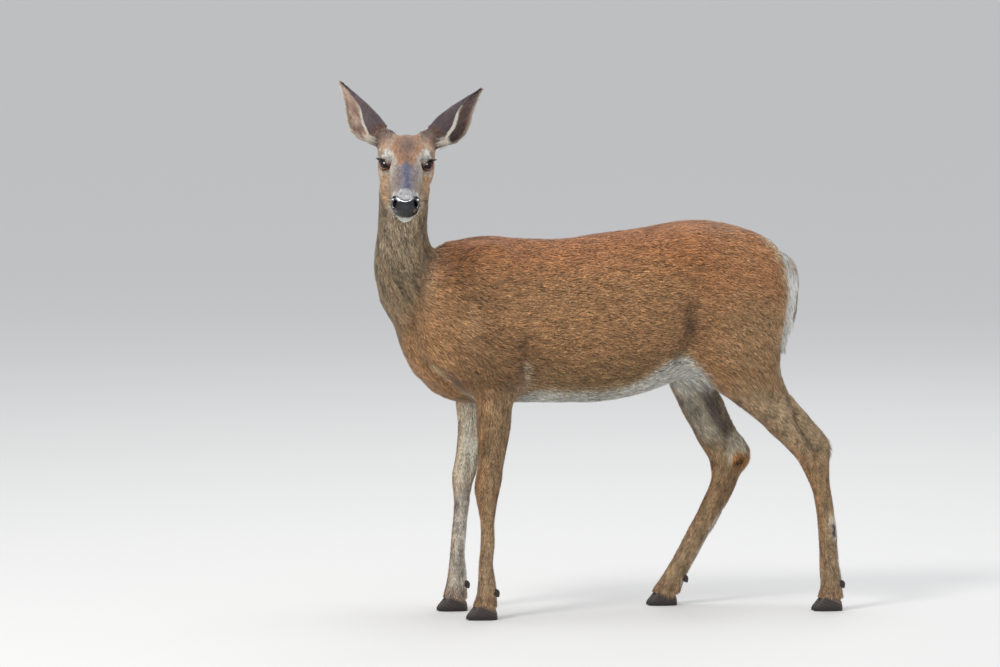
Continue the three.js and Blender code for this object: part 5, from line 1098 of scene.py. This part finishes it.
def even(v, k=48):
    q = np.quantile(v, np.linspace(0, 1, k)); q = np.maximum.accumulate(q+np.arange(k)*1e-9)
    lin = (v-v.min())/(np.ptp(v)+1e-9); return .004+.992*(.75*np.interp(v, q, np.linspace(0, 1, k))+.25*lin)
def even2(a, b, ka=18, k=40):
    """fills the square where a part's ends are cut aslant: b is spread within each level of a"""
    a = even(a); lo = np.linspace(0, 1, k); c = (np.arange(ka)+.5)/ka; Qm = []
    for j in range(ka):
        m = np.abs(a-c[j]) < .75/ka; q = np.quantile(b[m] if m.sum() > 40 else b, lo); Qm.append(np.maximum.accumulate(q+np.arange(k)*1e-9))
    Qm = np.array(Qm); f = np.clip(a*ka-.5, 0, ka-1.001); i = f.astype(int); t = f-i; r = np.zeros(len(a))
    for j in range(ka):
        m = i == j
        if m.any(): r[m] = (1-t[m])*np.interp(b[m], Qm[j], lo)+t[m]*np.interp(b[m], Qm[min(j+1, ka-1)], lo)
    return np.stack([a, .004+.992*r], 1)
def ear_uv(P):
    uv = np.zeros((len(P), 2)); far = [((P-(e.O+e.E[0]*.08))**2).sum(1) for e in EARS]
    for i, e in enumerate(EARS):
        cup, h, m = e.inside(P); sel = far[i] <= far[1-i]
        colm = 2*i+(cup > 0); hh = np.clip(h/.175, 0, 1)
        uv[sel, 0] = ((colm+.03+.94*np.clip(m, 0, 1))/4)[sel]; uv[sel, 1] = (.01+.98*hh)[sel]
    return uv
def fill(uv):
    g = np.zeros((48, 48), bool); i = np.clip((uv*48).astype(int), 0, 47); g[i[:, 0], i[:, 1]] = True; return g.mean()

# ------------------------------------------------------------------ the coat
part = RW.argmax(1)
CAP = 64000
made = []
def coat_piece(name, slot, sel, uv, extra=None, segs=1, sag=None):
    V, T, NR, CO, OF, m = blades(RP[sel], RN[sel], RD[sel], RL[sel], RWd[sel], RH[sel], RC[sel], TIP[sel], segs, sag, .50, RISE[sel])
    UVv = np.clip(np.repeat(uv, m, 0), .0016, .9984)+OF
    if extra is not None:
        V2, T2, NR2, CO2, OF2, m2, uv2 = extra
        T = np.concatenate([T, T2+len(V)]); V = np.concatenate([V, V2]); NR = np.concatenate([NR, NR2]); CO = np.concatenate([CO, CO2])
        UVv = np.concatenate([UVv, np.clip(np.repeat(uv2, m2, 0), .0016, .9984)+OF2])
    me = make_mesh(name, V, T, NR, CO, np.clip(UVv, 0, 1))
    put(me, slot, HAIR); made.append((name, len(T))); log(name, len(T), "tris, uv fill %.2f" % fill(uv))
sel = np.nonzero(part == 0)[0]
k = max(1, math.ceil(len(sel)/CAP)); cuts_ = np.quantile(RP[sel, 0], np.linspace(0, 1, k+1)); cuts_[0] -= 1; cuts_[-1] += 1
for i in range(k):
    s_ = sel[(RP[sel, 0] >= cuts_[i]) & (RP[sel, 0] < cuts_[i+1])]
    a, b = unwrap(RP[s_], "trunk"); coat_piece("coat_trunk_%d" % (i+1), "coat_body", s_, np.stack([even(a), even(b)], 1))
for j, (nm, slot_) in {1: ("neck", "coat_neck"), 2: ("head", "coat_head")}.items():
    s_ = np.nonzero(part == j)[0]
    if nm == "head":
        halves = [s_] if len(s_) <= CAP else [s_[((RP[s_]-HO) @ EH.T)[:, 1] < 0], s_[((RP[s_]-HO) @ EH.T)[:, 1] >= 0]]
    else: halves = [s_] if len(s_) <= CAP else [s_[RP[s_, 2] < np.median(RP[s_, 2])], s_[RP[s_, 2] >= np.median(RP[s_, 2])]]
    for q_, h_ in enumerate(halves):
        a, b = unwrap(RP[h_], nm); coat_piece("coat_%s%s" % (nm, "" if len(halves) == 1 else "_%d" % (q_+1)), slot_, h_, even2(a, b))
for i, nme in enumerate(LEG_NAMES):
    s_ = np.nonzero(part == 6+i)[0]; a, b = unwrap(RP[s_], nme); coat_piece("coat_"+nme, "coat_leg", s_, np.stack([even(a), even(b)], 1))
s_ = np.nonzero(part == 5)[0]; a, b = unwrap(RP[s_], "tail")
sg_ = np.zeros((len(s_), 3)); sg_[:, 2] = -.004; sg_[:, 0] = -.004
coat_piece("coat_tail", "coat_tail", s_, even2(a, b), segs=3, sag=sg_)
# ears: the coat, and the long fringe that stands over the cup from its front margin
EXP, EXN, EXD, EXL, EXC = [], [], [], [], []
for i, e in enumerate(EARS):
    k = int(900*SPARSE)
    h = .010+(.092 if i == 0 else .104)*RNG.random(k)**.9; hc = h
    T_ = e.T; ii = np.clip(np.searchsorted(T_[:, 0], h, side='right')-1, 0, len(T_)-2); t = ((h-T_[ii, 0])/(T_[ii+1, 0]-T_[ii, 0]))[:, None]
    V_ = T_[ii]*(1-t)+T_[ii+1]*t; wc, fc, Ar, Br, al0, al1, th = V_[:, 1:].T
    ang = np.radians(al0)-np.radians(7)*RNG.random(k)**1.4; rr = .985-.02*RNG.random(k)
    u = Ar*rr*np.cos(ang); v = Br*rr*np.sin(ang)
    P_ = e.O+h[:, None]*e.E[0]+(wc-u)[:, None]*e.E[1]+(fc+v)[:, None]*e.E[2]
    D_ = e.E[0]*.90+e.E[1]*(.20+.34*RNG.random(k))[:, None]+e.E[2]*(.12+.22*RNG.random(k))[:, None]
    EXP.append(P_); EXD.append(unit(D_)); EXN.append(unit(np.tile(e.E[2], (k, 1))+e.E[1]*.3)); EXL.append(((.0045+.0050*RNG.random(k)) if i == 0 else (.0065+.0080*RNG.random(k)))*sstep(.112, .070, h).clip(.30, 1))
    EXC.append(np.tile(rgb(232, 226, 214), (k, 1))*(.80+.3*RNG.random(k))[:, None])
    # the tuft in the notch
    k = int(240*SPARSE); P_ = e.O+e.E[0]*.012+e.E[1]*.022+e.E[2]*.012+RNG.standard_normal((k, 3))*np.array([.004, .004, .004])
    D_ = e.E[0]*.85+e.E[1]*(.30+.4*RNG.random(k))[:, None]+e.E[2]*(.1+.4*RNG.random(k))[:, None]
    EXP.append(P_); EXD.append(unit(D_)); EXN.append(unit(np.tile(e.E[2], (k, 1)))); EXL.append(.014+.014*RNG.random(k)); EXC.append(np.tile(rgb(214, 204, 190), (k, 1))*(.80+.3*RNG.random(k))[:, None])
EXP, EXN, EXD, EXL, EXC = map(np.concatenate, (EXP, EXN, EXD, EXL, EXC)); k = len(EXP)
EXN = unit(EXN-EXD*(EXN*EXD).sum(1, keepdims=True))
ex = blades(EXP, EXN, EXD, EXL, .00075+.0004*RNG.random(k), .0015*np.ones(k), EXC, np.ones(k), 2)
s_ = np.nonzero((part == 3) | (part == 4))[0]
coat_piece("coat_ears", "coat_ear", s_, ear_uv(RP[s_]), extra=(*ex, ear_uv(EXP)))
log("coat", sum(t for _, t in made), "tris in", len(made), "pieces; largest", max(t for _, t in made))

# ------------------------------------------------------------------ eyes
def eye_mesh(name, C, A, H_, V_):
    nr, ns = 64, 72; th = np.concatenate([[0], np.linspace(.03, 1.15, nr-14), np.linspace(1.2, math.pi-.03, 13), [math.pi]])
    V, col = [], []
    ph = np.arange(ns)/ns*2*math.pi
    for t in th:
        k = 1 if t in (0, math.pi) else ns; p = ph[:k]
        R = EYE_R+.0009*math.exp(-(t/.42)**2)
        h, v, a = R*math.sin(t)*np.cos(p), R*math.sin(t)*np.sin(p), R*math.cos(t)*np.ones(k)
        V.append(C+h[:, None]*H_+v[:, None]*V_+a[:, None]*A)
        c = np.tile(rgb(7, 5, 4), (k, 1)); hv = np.stack([h, v, a], 1)
        ir = np.hypot(h, v)
        ray = .5+.5*np.sin(p*31+3*np.sin(p*7)) if k > 1 else np.ones(1)
        c = over(c, rgb(24, 14, 9), .45*ray*sstep(.0105, .006, ir))
        c = over(c, rgb(8, 8, 12), sstep(1.08, .92, np.sqrt((h/.0066)**2+(v/.0036)**2)))
        c = over(c, rgb(12, 9, 8), sstep(.0100, .0118, ir)); c = over(c, rgb(84, 64, 56), sstep(.0128, .0142, ir))
        col.append(c)
    V, col = np.concatenate(V), np.concatenate(col); F = []
    i0 = 1
    for j in range(ns): F.append((0, i0+j, i0+(j+1) % ns))
    for r in range(len(th)-3):
        a, b = 1+r*ns, 1+(r+1)*ns
        for j in range(ns):
            j2 = (j+1) % ns; F += [(a+j, b+j, b+j2), (a+j, b+j2, a+j2)]
    last = len(V)-1; b = 1+(len(th)-3)*ns
    for j in range(ns): F.append((b+j, last, b+(j+1) % ns))
    F = np.array(F)
    if np.dot(np.cross(H_, V_), A) < 0: F = F[:, ::-1]
    return make_mesh(name, V, F, colour=col)
def rim_curve(target, n=120):
    t = np.arange(n)/n*2*math.pi; lo, hi = np.zeros(n), np.full(n, .03)
    for _ in range(34):
        m = (lo+hi)/2; f = almond(m*np.cos(t), m*np.sin(t)) < target; lo = np.where(f, m, lo); hi = np.where(f, hi, m)
    return lo*np.cos(t), lo*np.sin(t)
def lid_mesh(name, C, A, H_, V_):
    h0, v0 = rim_curve(.0006); n = len(h0); k = 10; V, col = [], []
    for j in range(k):
        w = 2*math.pi*j/k; up_ = sstep(-.001, .004, v0)
        out_ = (.0009+.0006*up_)*math.cos(w); rad = EYE_R+.0012+.0019*math.sin(w)
        r0 = np.hypot(h0, v0); h, v = h0*(1+out_/r0), v0*(1+out_/r0)
        a = np.sqrt(np.maximum(rad**2-h*h-v*v, 1e-8))
        V.append(C+h[:, None]*H_+v[:, None]*V_+a[:, None]*A)
        c = np.tile(rgb(16, 12, 12), (n, 1)); c = over(c, rgb(158, 104, 90), .80*np.maximum(sstep(.001, -.004, v0), sstep(.004, .010, h0)*sstep(.006, .002, v0))*(math.sin(w) < .8))
        c = over(c, rgb(206, 170, 158), .55*sstep(-.002, -.006, v0)*(math.cos(w) < -.2)); c = over(c, rgb(132, 88, 72), .75*sstep(.0045, .0105, h0)*sstep(.0, .002, v0))
        col.append(c)
    V = np.stack(V, 1).reshape(-1, 3); col = np.stack(col, 1).reshape(-1, 3); F = []
    for i in range(n):
        for j in range(k):
            a, b, c, d = i*k+j, i*k+(j+1) % k, ((i+1) % n)*k+j, ((i+1) % n)*k+(j+1) % k; F += [(a, c, d), (a, d, b)]
    F = np.array(F)
    if np.dot(np.cross(H_, V_), A) > 0: F = F[:, ::-1]
    return make_mesh(name, V, F, colour=col)
LV = []
for (C, A, H_, V_, s), nm in zip(EYES, ("left", "right")):
    put(eye_mesh("eyeball_"+nm, C, A, H_, V_), "eye", EYE, "eye_"+nm)
    put(lid_mesh("lid_"+nm, C, A, H_, V_), "nose_leather", LID)
    h0, v0 = rim_curve(.0014, 300); up_ = np.nonzero((v0 > .0034) & (h0 < .0040))[0]; pick = RNG.choice(up_, 180)
    h, v = h0[pick], v0[pick]; R = EYE_R+.0028; a = np.sqrt(R*R-h*h-v*v)
    P_ = C+h[:, None]*H_+v[:, None]*V_+a[:, None]*A
    D_ = unit(A*.90+V_*(.12+.25*RNG.random((180, 1)))+H_*(h/.012*.42)[:, None]+RNG.standard_normal((180, 3))*.06)
    L_ = (.0115+.0060*RNG.random(180))*sstep(-.018, -.006, -np.abs(h)).clip(.5, 1); N_ = unit(V_-D_*(D_ @ V_)[:, None])
    LV.append((P_, N_, D_, L_, np.full(180, .00072), L_*.16))
    h0, v0 = rim_curve(.0012, 300); lowr = np.nonzero(v0 < -.004)[0]; pick = RNG.choice(lowr, 34); h, v = h0[pick], v0[pick]; a = np.sqrt(R*R-h*h-v*v)
    P_ = C+h[:, None]*H_+v[:, None]*V_+a[:, None]*A; D_ = unit(A*.8-V_*.5+H_*(h/.012*.3)[:, None]+RNG.standard_normal((34, 3))*.08)
    L_ = .004+.002*RNG.random(34); LV.append((P_, unit(-V_-D_*(D_ @ -V_)[:, None]), D_, L_, np.full(34, .0004), L_*.2))
# feelers on muzzle, chin and brow
def feelers(k, cx, cy, cz, sx, sy, sz, L0, L1, d):
    P_ = np.stack([cx+sx*RNG.standard_normal(k), np.where(RNG.random(k) < .5, -1, 1)*(cy+sy*RNG.standard_normal(k)), cz+sz*RNG.standard_normal(k)], 1)
    W_ = HO+P_ @ EH
    for _ in range(6):
        f = skin_field(W_); g = np.stack([skin_field(W_+np.eye(3)[i]*.0006)-f for i in range(3)], 1)/.0006; W_ = W_-np.clip(f, -.01, .01)[:, None]*unit(g)
    N_ = unit(g); D_ = unit(N_*.8+np.array(d) @ EH+RNG.standard_normal((k, 3))*.12); L_ = L0+(L1-L0)*RNG.random(k)
    ax_ = unit(np.cross(D_, np.cross(N_, D_)+1e-6)); LV.append((W_, unit(ax_), D_, L_, np.full(k, .00042), L_*.08))
feelers(26, .128, .021, -.022, .012, .003, .008, .014, .030, [-.3, 0, -.25]); feelers(14, .120, .010, -.052, .014, .005, .002, .010, .020, [-.2, 0, -.6])
feelers(8, .012, .036, .026, .006, .004, .003, .014, .024, [.1, 0, .6])
P_, N_, D_, L_, W_, H__ = [np.concatenate([r[i] for r in LV]) for i in range(6)]
V, T, NR, CO, OF, m = blades(P_, N_, D_, L_, W_, H__, np.tile(rgb(18, 14, 13), (len(P_), 1)), np.ones(len(P_)), 3, None, 1.0)
put(make_mesh("lashes_feelers", V, T, NR, CO), "nose_leather", LASH)

# ------------------------------------------------------------------ nose pad
def nostril(P):
    Q = (P-HO) @ EH.T; x, y, z = Q.T; ya = np.abs(y)
    a = np.sqrt(((x-.160)/.015)**2+((ya-.0232)/.0052)**2+((z+.0035)/.0090)**2)
    b = np.sqrt(((x-.151)/.012)**2+((ya-.0290)/.0034)**2+((z-.002)/.0046)**2)
    return np.minimum(a, b)
def pad_field(P):
    m = nose_mask(P); return outline(P)+.0036-(.0036+.0001)*sstep(.05, .60, m)
lo_ = np.min([hp(.124, s*.038, v) for s in (-1, 1) for v in (-.052, .018)]+[hp(.182, s*.038, v) for s in (-1, 1) for v in (-.052, .018)], 0)-.002
hi_ = np.max([hp(.124, s*.038, v) for s in (-1, 1) for v in (-.052, .018)]+[hp(.182, s*.038, v) for s in (-1, 1) for v in (-.052, .018)], 0)+.002
V, F = surface_nets(pad_field, lo_, hi_, .0011); V = refine(V, pad_field, 1)
m = nose_mask(V); keep_ = (m[F] > .015).any(1) & (((V[F].mean(1)-HO) @ XH) > .130); F = F[keep_]
used = np.unique(F); re_ = np.full(len(V), -1); re_[used] = np.arange(len(used)); V = V[used]; F = re_[F]
Q = (V-HO) @ EH.T; hx, hy, hz = Q.T; hya = np.abs(hy); mk = nose_mask(V)
col = np.tile(rgb(6, 6, 7), (len(V), 1))
# painted reflection, blue-grey, across the top of the pad
col = over(col, rgb(44, 48, 60), .40*np.exp(-(((hz+.008)/.0075)**2+(hy/.0135)**2))*sstep(.148, .158, hx))
# painted highlights on the raised rims below and beside the nostrils
col = over(col, rgb(126, 116, 118), .66*np.exp(-(((hya-.0215-.10*(hz+.018))/.0026)**2+((hz+.0185)/.0060)**2))*sstep(.150, .156, hx))
col = over(col, rgb(92, 86, 88), .50*np.exp(-(((hya-.0285)/.0022)**2+((hz+.0080)/.0070)**2))*sstep(.146, .152, hx))
col = over(col, rgb(12, 11, 13), .8*sstep(-.020, -.028, hz)); col = over(col, rgb(14, 12, 13), .7*np.exp(-(hy/.0016)**2)*sstep(-.006, -.014, hz))
col = over(col, rgb(5, 4, 5), sstep(1.25, .90, nostril(V)))
put(make_mesh("nose_pad", V, F, colour=col), "nose_leather", NOSE)
log("nose", len(F))

# ------------------------------------------------------------------ hooves and dewclaws
HV, HF, HC = [], [], []; base = 0
for n_, (fx, fy, _) in FOOT.items():
    def toe_field(P):
        best = np.full(len(P), 1.0); pl = ((P[:, 0]-fx)*.41+(P[:, 2]-.033))/1.081
        for s, t in zip((-1, 1), TOES[n_]):
            d = smax(t(P), .0014-s*(P[:, 1]-fy), .0016); best = np.minimum(best, d)
        best = smax(best, pl, .0020)
        ring = .00022*np.sin(pl*2*math.pi/.0042+1.2*np.sin((P[:, 1]-fy)*90))*sstep(.0, -.004, pl)*sstep(.003, .008, P[:, 2])
        return np.maximum(best+ring+.0001, .0003-P[:, 2])
    h = .0018
    V, F = surface_nets(toe_field, [fx-.062, fy-.036, -.004], [fx+.05, fy+.036, .062], h); V = refine(V, toe_field, 1)
    pl = ((V[:, 0]-fx)*.41+(V[:, 2]-.033))/1.081
    c = np.tile(rgb(62, 54, 50), (len(V), 1)); c = over(c, rgb(122, 104, 88), .7*sstep(-.010, -.002, pl)); c = over(c, rgb(34, 29, 28), .75*sstep(.016, .004, V[:, 2]))
    c = c*(1+.18*np.sin(pl*2*math.pi/.0075))[:, None]; c = over(c, rgb(20, 17, 16), sstep(.0045, .0022, np.abs(V[:, 1]-fy)))
    HV.append(V); HF.append(F+base); HC.append(np.clip(c, 0, 1)); base += len(V)
HN = ["hoof_%s_%s" % (FOOT[n_][2], k) for n_ in FOOT for k in ("inner", "outer")]
put(make_mesh("hooves", np.concatenate(HV), np.concatenate(HF), colour=np.concatenate(HC)), "horn", HORN, *HN)
DV, DF, DC = [], [], []; base = 0
for n_, (fx, fy, _) in FOOT.items():
    r = LEGS[n_].at(np.array([.062]))[0]; cx = r[2]+r[4]-.003
    for s in (-1, 1):
        nr, ns = 14, 20; t = math.radians(28); R_ = np.array([[math.cos(t), 0, math.sin(t)], [0, 1, 0], [-math.sin(t), 0, math.cos(t)]])
        for i in range(nr+1):
            w = -math.cos(math.pi*i/nr); rr = math.sqrt(max(0, 1-w*w))*(.62+.38*sstep(-1.0, .1, w)); k = 1 if i in (0, nr) else ns; ph = np.arange(k)/ns*2*math.pi
            q = np.stack([rr*np.cos(ph)*.0079, rr*np.sin(ph)*.0054, np.full(k, w*.0108)], 1)
            DV.append(np.array([cx, fy+s*.012, .062])+q @ R_); DC.append(np.tile(rgb(50, 42, 38)*(1+.15*math.sin(w*14)), (k, 1)))
        f = []
        for j in range(ns): f.append((0, 1+(j+1) % ns, 1+j))
        for i in range(nr-2):
            a, b = 1+i*ns, 1+(i+1)*ns
            for j in range(ns): j2 = (j+1) % ns; f += [(a+j, a+j2, b+j2), (a+j, b+j2, b+j)]
        a = 1+(nr-2)*ns; last = a+ns
        for j in range(ns): f.append((a+j, a+(j+1) % ns, last))
        DF.append(np.array(f)+base); base += last+1
DN = ["dewclaw_%s_%s" % (FOOT[n_][2], k) for n_ in FOOT for k in ("inner", "outer")]
put(make_mesh("dewclaws", np.concatenate(DV), np.concatenate(DF), colour=np.concatenate(DC)), "horn", HORN, *DN)

# ------------------------------------------------------------------ camera, floor and light
sc = bpy.context.scene
cam_d = bpy.data.cameras.new("camera"); cam = bpy.data.objects.new("camera", cam_d); sc.collection.objects.link(cam)
cam_d.sensor_fit = 'HORIZONTAL'; cam_d.sensor_width = 36; cam_d.lens = FPX/1000*36; cam_d.clip_end = 400
M = Matrix.Identity(4)
for i, v in enumerate((RIGHT, UP, BACK)):
    for j in range(3): M[j][i] = v[j]
for j in range(3): M[j][3] = (CAM+ORIGIN)[j]
cam.matrix_world = M; sc.camera = cam
bm = bmesh.new(); bmesh.ops.create_circle(bm, cap_ends=True, radius=90, segments=96)
fme = bpy.data.meshes.new("floor"); bm.to_mesh(fme); bm.free()
floor = bpy.data.objects.new("floor", fme); sc.collection.objects.link(floor); floor.location = (0, 0, 0)
FM, nt, b = new_mat("floor", .85, .2); b.inputs["Base Color"].default_value = (.74, .74, .735, 1); fme.materials.append(FM)
floor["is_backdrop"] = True
w = bpy.data.worlds.new("world"); sc.world = w; w.use_nodes = True; w.node_tree.nodes["Background"].inputs[0].default_value = (.81, .82, .84, 1); w.node_tree.nodes["Background"].inputs[1].default_value = .84
sc.view_settings.view_transform = 'Standard'
def area_light(name, d, dist, size, watts, col=(1, 1, 1), at=(0, 0, .7)):
    l = bpy.data.lights.new(name, 'AREA'); l.shape = 'DISK'; l.size = size; l.energy = watts; l.color = col
    o = bpy.data.objects.new(name, l); sc.collection.objects.link(o)
    t = Vector(at)+Vector(ORIGIN); p = t+Vector(unit(np.array(d, float)))*dist; o.location = p
    o.rotation_euler = (t-p).to_track_quat('-Z', 'Y').to_euler(); o.visible_camera = False; o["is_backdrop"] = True; return o
def catch(C, A, H_, V_, fx, fy):
    """the eye's normal where its catch-light lies: fractions across and up the open part that shows in front"""
    g = np.stack(np.meshgrid(np.linspace(-.016, .016, 41), np.linspace(-.012, .012, 31)), -1).reshape(-1, 2); g = g[almond(g[:, 0], g[:, 1]) < -.0010]
    a = np.sqrt(np.maximum(EYE_R**2-(g**2).sum(1), 1e-9)); q = unit(g[:, :1]*H_+g[:, 1:]*V_+a[:, None]*A); q = q[q @ BACK > .15]
    X, Y = q @ RIGHT, q @ UP; return q[((X-X.min()-fx*np.ptp(X))**2+(Y-Y.min()-fy*np.ptp(Y))**2).argmin()]
def glint(name, target, nrm, dist, size, watts, *obs):
    """a soft light that only these pieces mirror"""
    o = area_light(name, 2*(nrm @ BACK)*nrm-BACK, dist, size, watts, (.97, .98, 1), at=target)
    c = bpy.data.collections.new(name); [c.objects.link(bpy.data.objects[k]) for k in obs]; o.light_linking.receiver_collection = c
for (C, A, H_, V_, s), nm, fx, fy in zip(EYES, ("left", "right"), (.50, .28), (.74, .66)):
    glint("glint_"+nm, C, catch(C, A, H_, V_, fx, fy), 3.5, 2.2, 620, "eyeball_"+nm)
o = area_light("glint_nose", BACK*.42+UP*.90-RIGHT*.18, 3.2, 3.0, 1300, (.95, .97, 1), at=hp(.155, 0, -.01))
c = bpy.data.collections.new("glint_nose"); c.objects.link(bpy.data.objects["nose_pad"]); o.light_linking.receiver_collection = c
area_light("key", -RIGHT*.75+BACK*.9+np.array([0, 0, 1.15]), 6.5, 1.7, 165, (1, .97, .93))
area_light("top", np.array([.1, .1, 1.0]), 5.0, 4.0, 95)
area_light("fill", RIGHT*1.0+BACK*.5+np.array([0, 0, .35]), 7.0, 3.5, 14, (.93, .96, 1))
area_light("back", -BACK*1.0+RIGHT*.3+np.array([0, 0, .9]), 7.0, 3.0, 45)

vis_lo, vis_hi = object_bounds()
log("cad", [round(float(v), 4) for v in (*cad_lo, *cad_hi)], "visual", [round(float(v), 4) for v in (*vis_lo, *vis_hi)])
